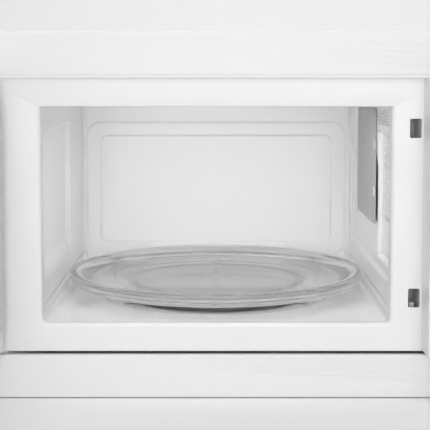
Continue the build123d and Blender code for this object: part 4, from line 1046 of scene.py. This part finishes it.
def roller(index, degrees, body):
    """A roller with a dished web and a hub. Its section is the same from both ends."""
    shape = Shape()
    half = [
        (WHEEL_HALF, 2.1), (WHEEL_HALF, 4.4), (WHEEL_HALF - 1.0, 4.6), (WHEEL_HALF - 1.0, WHEEL_RADIUS - 1.6),
        (WHEEL_HALF, WHEEL_RADIUS - 1.4), (WHEEL_HALF - 0.1, WHEEL_RADIUS - 0.7),
        (WHEEL_HALF - 0.7, WHEEL_RADIUS - 0.1), (WHEEL_HALF - 1.6, WHEEL_RADIUS),
    ]
    section = [(WHEEL_TRACK - out, radius) for out, radius in half]
    section += [(WHEEL_TRACK + out, radius) for out, radius in reversed(half)]
    wheel_bar(shape, section, degrees, 56)
    return shape.piece(f"roller_wheel_{index}", body, GREY_PLASTIC, [f"roller_{index}"])


# Trim frame
TRIM_WIDTH = 595.0
TRIM_HEIGHT = 344.0
TRIM_BOTTOM = 1.0
TRIM_TOP = TRIM_BOTTOM + TRIM_HEIGHT
TRIM_MIDDLE = TRIM_BOTTOM + TRIM_HEIGHT / 2
TRIM_FRONT = -12.0
TRIM_BACK = -2.0
TRIM_GAP = 2.5
TRIM_LIP = 12.5
TRIM_CORNER = 4.0
LOUVRE_START = 178.0
LOUVRE_END = 280.0
LOUVRE_HEIGHT = 3.0
LOUVRE_PITCH = 6.5
LOUVRE_ROWS = 4
LOWER_LOUVRES = TRIM_BOTTOM + 12.0
UPPER_LOUVRES = BODY_TOP + TRIM_GAP + 5.0
NICHE_SCREW_X = 288.0
NICHE_SCREW_RISE = 60.0
NICHE_SCREW_RADIUS = 2.25


def trim_frame():
    """The painted frame that covers the gap between the body and the cabinet."""
    shape = Shape()
    edge = rounded(TRIM_WIDTH, TRIM_HEIGHT, TRIM_CORNER, 0, TRIM_MIDDLE)
    holes = [rounded(BODY_WIDTH + 2 * TRIM_GAP, BODY_HEIGHT + 2 * TRIM_GAP, TRIM_CORNER, 0, BODY_MIDDLE)]
    middle = (LOUVRE_START + LOUVRE_END) / 2
    for start in (LOWER_LOUVRES, UPPER_LOUVRES):
        for row in range(LOUVRE_ROWS):
            z = start + row * LOUVRE_PITCH + LOUVRE_HEIGHT / 2
            holes.append(rounded(LOUVRE_END - LOUVRE_START, LOUVRE_HEIGHT, 1.4, middle, z, 4))
    for x in (-NICHE_SCREW_X, NICHE_SCREW_X):
        for z in (TRIM_BOTTOM + NICHE_SCREW_RISE, TRIM_TOP - NICHE_SCREW_RISE):
            holes.append(round_hole(NICHE_SCREW_RADIUS, x, z, 20))
    shape.plate(edge, holes, TRIM_FRONT, TRIM_BACK, 0.9, front)
    half = TRIM_WIDTH / 2
    inside = half - TRIM_LIP
    top = TRIM_TOP - TRIM_LIP
    flange = cornered([
        (inside, TRIM_BOTTOM, 0.5), (half, TRIM_BOTTOM, 0.5), (half, TRIM_TOP, TRIM_CORNER),
        (-half, TRIM_TOP, TRIM_CORNER), (-half, TRIM_BOTTOM, 0.5), (-inside, TRIM_BOTTOM, 0.5),
        (-inside, top, 2), (inside, top, 2),
    ])
    shape.plate(flange, [], TRIM_BACK - 0.3, 0, 0.2, front)
    return shape.piece("painted_trim", "root", WHITE_PAINT, ["trim_frame"], 40)


# Door, given in its closed place and turned open about its pins
PIN_X = -247.5
PIN_Y = -24.0
DOOR_TURN = -100.0
DOOR_BACK = -9.0
DOOR_LEFT = -236.5
DOOR_RIGHT = 145.1
DOOR_BOTTOM = 48.0
DOOR_TOP = 298.0
EAR_LEFT = -250.5
EAR_BOTTOM = 68.0
EAR_TOP = 278.0
COVER_THICKNESS = 2.0
CHOKE_REACH = 17.0
SCREEN_Y = -20.0
SCREEN_SHEET = 0.5
SCREEN_PITCH = 2.9
SCREEN_HOLE = 1.05
SCREEN_MARGIN = 25.0
SCREEN_RAISE = 2.3


def opened(x, y, z):
    """A point of the closed door, turned to where the open door stands."""
    t = math.radians(DOOR_TURN)
    dx = x - PIN_X
    dy = y - PIN_Y
    return (PIN_X + dx * math.cos(t) - dy * math.sin(t), PIN_Y + dx * math.sin(t) + dy * math.cos(t), z)


def on_door(x, z, y):
    """The place of a point on a piece that faces the front of the closed door."""
    return opened(x, y, z)


def choke_cover():
    """The moulded frame over the door's choke, with its window."""
    shape = Shape()
    edge = cornered([
        (DOOR_LEFT, DOOR_BOTTOM, 2), (DOOR_RIGHT, DOOR_BOTTOM, 6), (DOOR_RIGHT, DOOR_TOP, 6),
        (DOOR_LEFT, DOOR_TOP, 2), (DOOR_LEFT, EAR_TOP, 1), (EAR_LEFT, EAR_TOP, 2),
        (EAR_LEFT, EAR_BOTTOM, 2), (DOOR_LEFT, EAR_BOTTOM, 1),
    ], 6)
    window = rounded(OVEN_WIDTH, OVEN_HEIGHT, 4, OVEN_MIDDLE, OVEN_HALF_HEIGHT)
    shape.plate(edge, [window], DOOR_BACK - COVER_THICKNESS, DOOR_BACK, 0.8, on_door)
    return shape.piece("moulded_choke_cover", "door", CHOKE_PLASTIC, ["choke_cover"], 40)


def door_screen():
    """The folded steel screen with its choke channel and rows of fine holes."""
    shape = Shape()
    width = OVEN_WIDTH + 2 * CHOKE_REACH
    height = OVEN_HEIGHT + 2 * CHOKE_REACH
    box = rounded(width, height, 20, OVEN_MIDDLE, OVEN_HALF_HEIGHT)
    top = DOOR_BACK - COVER_THICKNESS - 0.05
    floor = SCREEN_Y
    raised = SCREEN_Y + SCREEN_RAISE
    wall = CHOKE_REACH - 1
    margin = CHOKE_REACH + SCREEN_MARGIN - 6
    section = [
        (0, top), (0, floor + 1), (-1, floor), (-wall + 1, floor), (-wall, floor + 1), (-wall, top - 0.6),
        (-wall - 0.5, top), (-CHOKE_REACH, top - 0.6), (-CHOKE_REACH, floor + 1), (-CHOKE_REACH - 1, floor),
        (-margin, floor), (-margin - 1.5, floor + 0.5), (-margin - 3, raised - 0.5), (-margin - 4.5, raised),
    ]
    rings = [[on_door(x, z, y) for x, z in box(by)] for by, y in section]
    shape.loft(rings)
    width = OVEN_WIDTH - 2 * SCREEN_MARGIN
    height = OVEN_HEIGHT - 2 * SCREEN_MARGIN
    columns = int(width / SCREEN_PITCH)
    rows = int(height / SCREEN_PITCH)
    x0 = OVEN_MIDDLE - columns * SCREEN_PITCH / 2
    z0 = OVEN_HALF_HEIGHT - rows * SCREEN_PITCH / 2
    inner = shape.perforated(x0, z0, columns, rows, SCREEN_PITCH, SCREEN_HOLE,
                             lambda u, v: on_door(u, v, raised))
    shape.fill([rings[-1], inner])
    return shape.piece("perforated_screen", "door", WHITE_PAINT, ["door_screen"], 40,
                       opened(OVEN_MIDDLE, 100, OVEN_HALF_HEIGHT), SCREEN_SHEET)


# Controls
PANEL_FACE = -44.0
TIMER_Z = 210.0
POWER_Z = 128.0
DIAL_STEM = -26.0
DIAL_BACK = -45.5
DIAL_FRONT = -63.5
DIAL_RADIUS = 23.0
DIAL_FLUTES = 40
FLUTE_STEPS = 6
TICK_INNER = 25.2
TICK_OUTER = 27.4
TICK_WIDTH = 0.5
NUMBER_RADIUS = 31.5
PRINT = 0.05
KEY_Z = 169.0
KEY_PITCH = 28.0
KEY_FACE = -46.0
BUTTON_Z = 68.0
BUTTON_FACE = -44.5


def dial(name, body, node, z):
    """A fluted dial with a flange, a dished face and a stem."""
    shape = Shape()
    plain = [
        (0.05, DIAL_STEM), (3, DIAL_STEM), (3, DIAL_BACK), (DIAL_RADIUS - 0.6, DIAL_BACK),
        (DIAL_RADIUS, DIAL_BACK - 0.6), (DIAL_RADIUS, DIAL_BACK - 5.8), (DIAL_RADIUS - 0.6, DIAL_BACK - 6.7),
        (DIAL_RADIUS - 1.8, DIAL_BACK - 7.1), (DIAL_RADIUS - 3.4, DIAL_BACK - 7.3),
    ]
    fluted = [
        (19.0, DIAL_BACK - 8.0), (18.7, DIAL_BACK - 9.0), (18.2, DIAL_FRONT + 4.2), (17.9, DIAL_FRONT + 2.4),
        (17.2, DIAL_FRONT + 1.1),
    ]
    face = [
        (16.0, DIAL_FRONT + 0.3), (14.6, DIAL_FRONT), (13.4, DIAL_FRONT + 0.2), (12.4, DIAL_FRONT + 0.9),
        (11.4, DIAL_FRONT + 1.2), (0.05, DIAL_FRONT + 1.4),
    ]
    steps = DIAL_FLUTES * FLUTE_STEPS
    rings = []
    for k, (radius, y) in enumerate(plain + fluted + face):
        depth = 0.7 if len(plain) <= k < len(plain) + len(fluted) else 0.0
        ring = []
        for i in range(steps):
            t = 2 * math.pi * i / steps
            r = radius - depth * (0.5 - 0.5 * math.cos(DIAL_FLUTES * t)) ** 2
            ring.append((PANEL_X + r * math.cos(t), y, z + r * math.sin(t)))
        rings.append(ring)
    shape.loft(rings)
    shape.piece(name, body, DIAL_PLASTIC, [node], 45)
    mark = Shape()
    line = rounded(1.6, 8, 0.75, PANEL_X, z + 13.2, 4)
    mark.plate(line, [], DIAL_FRONT, DIAL_FRONT + 0.9, 0.1, front)
    return mark.piece(name + "_pointer", body, DARK_PLASTIC, ())


def letters(shape, text, x, z, height, y):
    """Raised printing on the panel."""
    curve = bpy.data.curves.new("letters", "FONT")
    curve.body = text
    curve.size = height
    curve.extrude = 0.03
    curve.resolution_u = 4
    curve.align_x = "CENTER"
    curve.align_y = "CENTER"
    writing = bpy.data.objects.new("letters", curve)
    bpy.context.scene.collection.objects.link(writing)
    bpy.context.view_layer.update()
    mesh = bpy.data.meshes.new_from_object(writing.evaluated_get(bpy.context.evaluated_depsgraph_get()))
    start = len(shape.points)
    shape.ring([(x + v.co.x, y - v.co.z, z + v.co.y) for v in mesh.vertices])
    for face in mesh.polygons:
        shape.faces.append(tuple(start + i for i in face.vertices))
    bpy.data.objects.remove(writing)
    bpy.data.curves.remove(curve)
    bpy.data.meshes.remove(mesh)


def panel_marks():
    """Scale marks round the dials, and the power dial's numbers."""
    shape = Shape()
    for z, turns in ((TIMER_Z, range(0, 360, 15)), (POWER_Z, range(-45, 226, 45))):
        for degrees in turns:
            t = math.radians(degrees)
            side = Vector((-math.sin(t), math.cos(t))) * TICK_WIDTH / 2
            near = Vector((math.cos(t), math.sin(t))) * TICK_INNER
            far = Vector((math.cos(t), math.sin(t))) * TICK_OUTER
            corners = [near - side, far - side, far + side, near + side]
            heights = (PANEL_FACE, PANEL_FACE - PRINT)
            shape.loft([[(PANEL_X + c.x, y, z + c.y) for c in corners] for y in heights], capped=True)
    for number, degrees in enumerate(range(225, -46, -45), 1):
        t = math.radians(degrees)
        x = PANEL_X + NUMBER_RADIUS * math.cos(t)
        z = POWER_Z + NUMBER_RADIUS * math.sin(t)
        letters(shape, str(number), x, z, 5, PANEL_FACE - 0.02)
    return shape.piece("panel_marks", "root", DARK_PLASTIC, ())


# Springs
SPRING_WIRE = 0.9
BUTTON_SPRING_X = PANEL_X + 14
BUTTON_SPRING_FRONT = -38.1
PLATE_SPRING_GAP = 0.35
BUTTON_SPRING_RADIUS = 5.0
LATCH_SPRING_X = HOOK_X - 9.5
LATCH_SPRING_Y = -31.5
LATCH_SPRING_LOW = 130.1
LATCH_SPRING_HIGH = 169.9
LATCH_SPRING_RADIUS = 3.0
SPRING_TURNS = 9
SPRING_STEPS = 28
WIRE_STEPS = 10


def spring(shape, radius, low, high, place):
    """A wound spring with closed end turns, from one height of its axis to another."""
    wire = SPRING_WIRE / 2
    steps = SPRING_TURNS * SPRING_STEPS
    open_length = high - low - 4 * wire - 2 * SPRING_WIRE
    rings = []
    for k in range(steps + 1):
        turn = SPRING_TURNS * k / steps
        pitch_part = min(max((turn - 1) / (SPRING_TURNS - 2), 0), 1)
        end_part = min(turn, 1) + max(turn - SPRING_TURNS + 1, 0)
        height = low + wire + end_part * SPRING_WIRE + pitch_part * (open_length + 2 * wire)
        t = 2 * math.pi * turn
        ring = []
        for i in range(WIRE_STEPS):
            s = 2 * math.pi * i / WIRE_STEPS
            r = radius + wire * math.cos(s)
            ring.append(place(r * math.cos(t), r * math.sin(t), height + wire * math.sin(s)))
        rings.append(ring)
    return shape.loft(rings, capped=True)


def button_spring():
    """The spring behind the release button."""
    shape = Shape()
    back = PLATE_FRONT - PLATE_SPRING_GAP
    spring(shape, BUTTON_SPRING_RADIUS, BUTTON_SPRING_FRONT, back,
           lambda u, v, h: (BUTTON_SPRING_X + u, h, BUTTON_Z + v))
    made = shape.piece("button_return_spring", "root", SPRING_STEEL, ["button_spring"], 60)
    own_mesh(made)


def latch_spring():
    """The spring over the door's hooks."""
    shape = Shape()
    spring(shape, LATCH_SPRING_RADIUS, LATCH_SPRING_LOW, LATCH_SPRING_HIGH,
           lambda u, v, h: opened(LATCH_SPRING_X + u, LATCH_SPRING_Y + v, h))
    made = shape.piece("hook_return_spring", "door", SPRING_STEEL, ["latch_spring"], 60)
    anchor = [v * MM for v in opened(LATCH_SPRING_X, LATCH_SPRING_Y, LATCH_SPRING_HIGH)]
    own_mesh(made)


def sign_on_key(name, body, outlines, y):
    """A printed sign on a key's face. The first outline is its edge and the others are holes."""
    shape = Shape()
    for loops in outlines:
        for depth in (y, y - PRINT):
            shape.fill([[(x, depth, z) for x, z in loop] for loop in loops])
        for loop in loops:
            shape.loft([[(x, depth, z) for x, z in loop] for depth in (y, y - PRINT)])
    return shape.piece(name, body, DARK_PLASTIC, ())


def box_outline(width, height, x, z):
    """The corners of a rectangle round a point."""
    w = width / 2
    h = height / 2
    return [(x - w, z - h), (x + w, z - h), (x + w, z + h), (x - w, z + h)]


def key_signs():
    """A square for stop, a clock face, a triangle for start and an opening door."""
    x = PANEL_X - KEY_PITCH
    sign_on_key("stop_sign", "stop", [[box_outline(3.6, 3.6, x, KEY_Z)]], KEY_FACE)
    x = PANEL_X
    hands = [[box_outline(0.5, 1.7, x, KEY_Z + 0.85)], [box_outline(1.3, 0.5, x + 0.9, KEY_Z)]]
    face = [round_hole(radius, x, KEY_Z, 40)() for radius in (2.5, 2.0)]
    sign_on_key("clock_sign", "clock", [face] + hands, KEY_FACE)
    x = PANEL_X + KEY_PITCH
    triangle = [(x - 1.7, KEY_Z - 2), (x + 1.9, KEY_Z), (x - 1.7, KEY_Z + 2)]
    sign_on_key("start_sign", "start", [[triangle]], KEY_FACE)
    x = PANEL_X
    z = BUTTON_Z
    doorway = [box_outline(8, 6, x, z), box_outline(7.2, 5.2, x, z)]
    leaf = [(x - 3.9, z - 3), (x - 8.2, z - 4.6), (x - 8.2, z + 3.2), (x - 3.9, z + 3)]
    sign_on_key("door_sign", "button", [doorway, [leaf]], BUTTON_FACE)


# How the nodes that are shown as they are get their edges softened
WELD_GAP = 0.005
EDGE_WIDTH = 0.3
EDGE_ANGLE = 40


def carried_over():
    """Gives the nodes that are shown as they are their finish and softened edges."""
    slots = {entry["node"]: entry["material_slot"] for entry in frame["record"]["subparts"]}
    for name, node in frame["nodes"].items():
        if node.hide_render:
            continue
        node.data.materials.clear()
        node.data.materials.append(SLOT_FINISHES[slots[name]])
        weld = node.modifiers.new("weld", "WELD")
        weld.merge_threshold = WELD_GAP * MM
        edge = node.modifiers.new("edge", "BEVEL")
        edge.width = EDGE_WIDTH * MM
        edge.segments = 2
        edge.limit_method = "ANGLE"
        edge.angle_limit = math.radians(EDGE_ANGLE)
        edge.harden_normals = False


front_plate()
cavity_wrap()
cavity_floor()
cavity_back()
waveguide_cover()
cover_clips()
glass_tray()
roller_ring()
for number, (wheel_turn, wheel_body) in enumerate(zip(WHEEL_TURNS, ("roller_a", "roller_b", "roller_c")), 1):
    roller(number, wheel_turn, wheel_body)
trim_frame()
choke_cover()
door_screen()
dial("timer_knob", "timer", "timer_dial", TIMER_Z)
dial("power_knob", "power", "power_dial", POWER_Z)
panel_marks()
key_signs()
button_spring()
latch_spring()
carried_over()


# Studio
FLOOR_HALF = 4000
BEND_START = 1500
BEND = 800


def studio_surface():
    """A pale floor that curves up into a backdrop."""
    finish = Finish("studio")
    cloud = finish.place.noise(3, 3)
    material = finish.set(Base_Color=cloud.tint((0.90, 0.90, 0.90), (0.93, 0.93, 0.93)), Roughness=0.9)
    mesh = bpy.data.meshes.new("floor")
    shape = Shape()
    profile = [(-FLOOR_HALF, 0), (BEND_START, 0)]
    for t in quarter(8)[1:]:
        profile.append((BEND_START + BEND * math.sin(t), BEND * (1 - math.cos(t))))
    profile.append((BEND_START + BEND, FLOOR_HALF))
    shape.loft([[(-FLOOR_HALF, y, z), (FLOOR_HALF, y, z)] for y, z in profile], closed=False)
    mesh.from_pydata([p * MM for p in shape.points], [], shape.faces)
    floor = bpy.data.objects.new("floor", mesh)
    bpy.context.scene.collection.objects.link(floor)
    mesh.materials.append(material)
    mesh.polygons.foreach_set("use_smooth", [True] * len(mesh.polygons))


def softbox(name, place, target, width, height, power, spread=180, mirrored=True):
    """A soft studio light, at a place, that points at a target. Sizes are in metres."""
    light = bpy.data.lights.new(name, "AREA")
    light.spread = math.radians(spread)
    light.shape = "RECTANGLE"
    light.size = width
    light.size_y = height
    light.energy = power
    lamp = bpy.data.objects.new(name, light)
    lamp.location = place
    lamp.rotation_euler = (Vector(target) - Vector(place)).to_track_quat("-Z", "Y").to_euler()
    lamp.visible_glossy = mirrored
    bpy.context.scene.collection.objects.link(lamp)


def studio():
    """The floor, the lights round the oven's open front, the lamp in the oven and a pale sky."""
    studio_surface()
    softbox("front_light", (-0.1, -2.3, 0.7), (-0.05, 0.1, 0.2), 2.4, 1.4, 12)
    softbox("fill_light", (-0.04, -1.6, 0.25), (-0.04, 0.3, 0.17), 0.8, 0.5, 4.5, mirrored=False)
    softbox("over_light", (-0.05, -1.1, 2.2), (-0.03, 0.0, 0.1), 1.6, 1.0, 17.5)
    softbox("left_light", (-2.0, -0.8, 1.0), (-0.1, 0.1, 0.2), 1.4, 1.4, 4)
    softbox("right_light", (2.0, -0.6, 1.2), (0, 0.1, 0.2), 1.4, 1.4, 2)
    softbox("top_light", (0, 0.3, 2.4), (0, 0.1, 0), 2.0, 2.0, 6)
    softbox("back_light", (0.4, 2.1, 1.6), (0, 0.2, 0.2), 1.4, 1.0, 5)
    softbox("backdrop_light", (0, 0.9, 2.6), (0, 2.3, 0.8), 2.5, 0.8, 22)
    softbox("oven_light", (-0.035, 0.008, 0.268), (-0.035, 0.3, 0.03), 0.2, 0.012, 0.155, 130)
    world = bpy.data.worlds.new("studio")
    world.use_nodes = True
    sky = world.node_tree.nodes["Background"]
    sky.inputs["Color"].default_value = (1, 1, 1, 1)
    sky.inputs["Strength"].default_value = 0.25
    bpy.context.scene.world = world
    bpy.context.scene.view_settings.view_transform = "Standard"


# Camera: where the photographer's eye was, in millimetres, and its tilt down in degrees
EYE = (-36.7, -1048.0, 305.0)
PITCH = 3.89
LENS = 93.5
SENSOR = 36
SHIFT = -0.15


def camera():
    """The camera that sees the oven as the photograph does."""
    data = bpy.data.cameras.new("camera")
    data.lens = LENS
    data.sensor_width = SENSOR
    data.shift_y = SHIFT
    data.clip_start = 0.01
    eye = bpy.data.objects.new("camera", data)
    eye.location = Vector(EYE) * MM
    eye.rotation_euler = (math.radians(90 - PITCH), 0, 0)
    bpy.context.scene.collection.objects.link(eye)
    bpy.context.scene.camera = eye


studio()
camera()
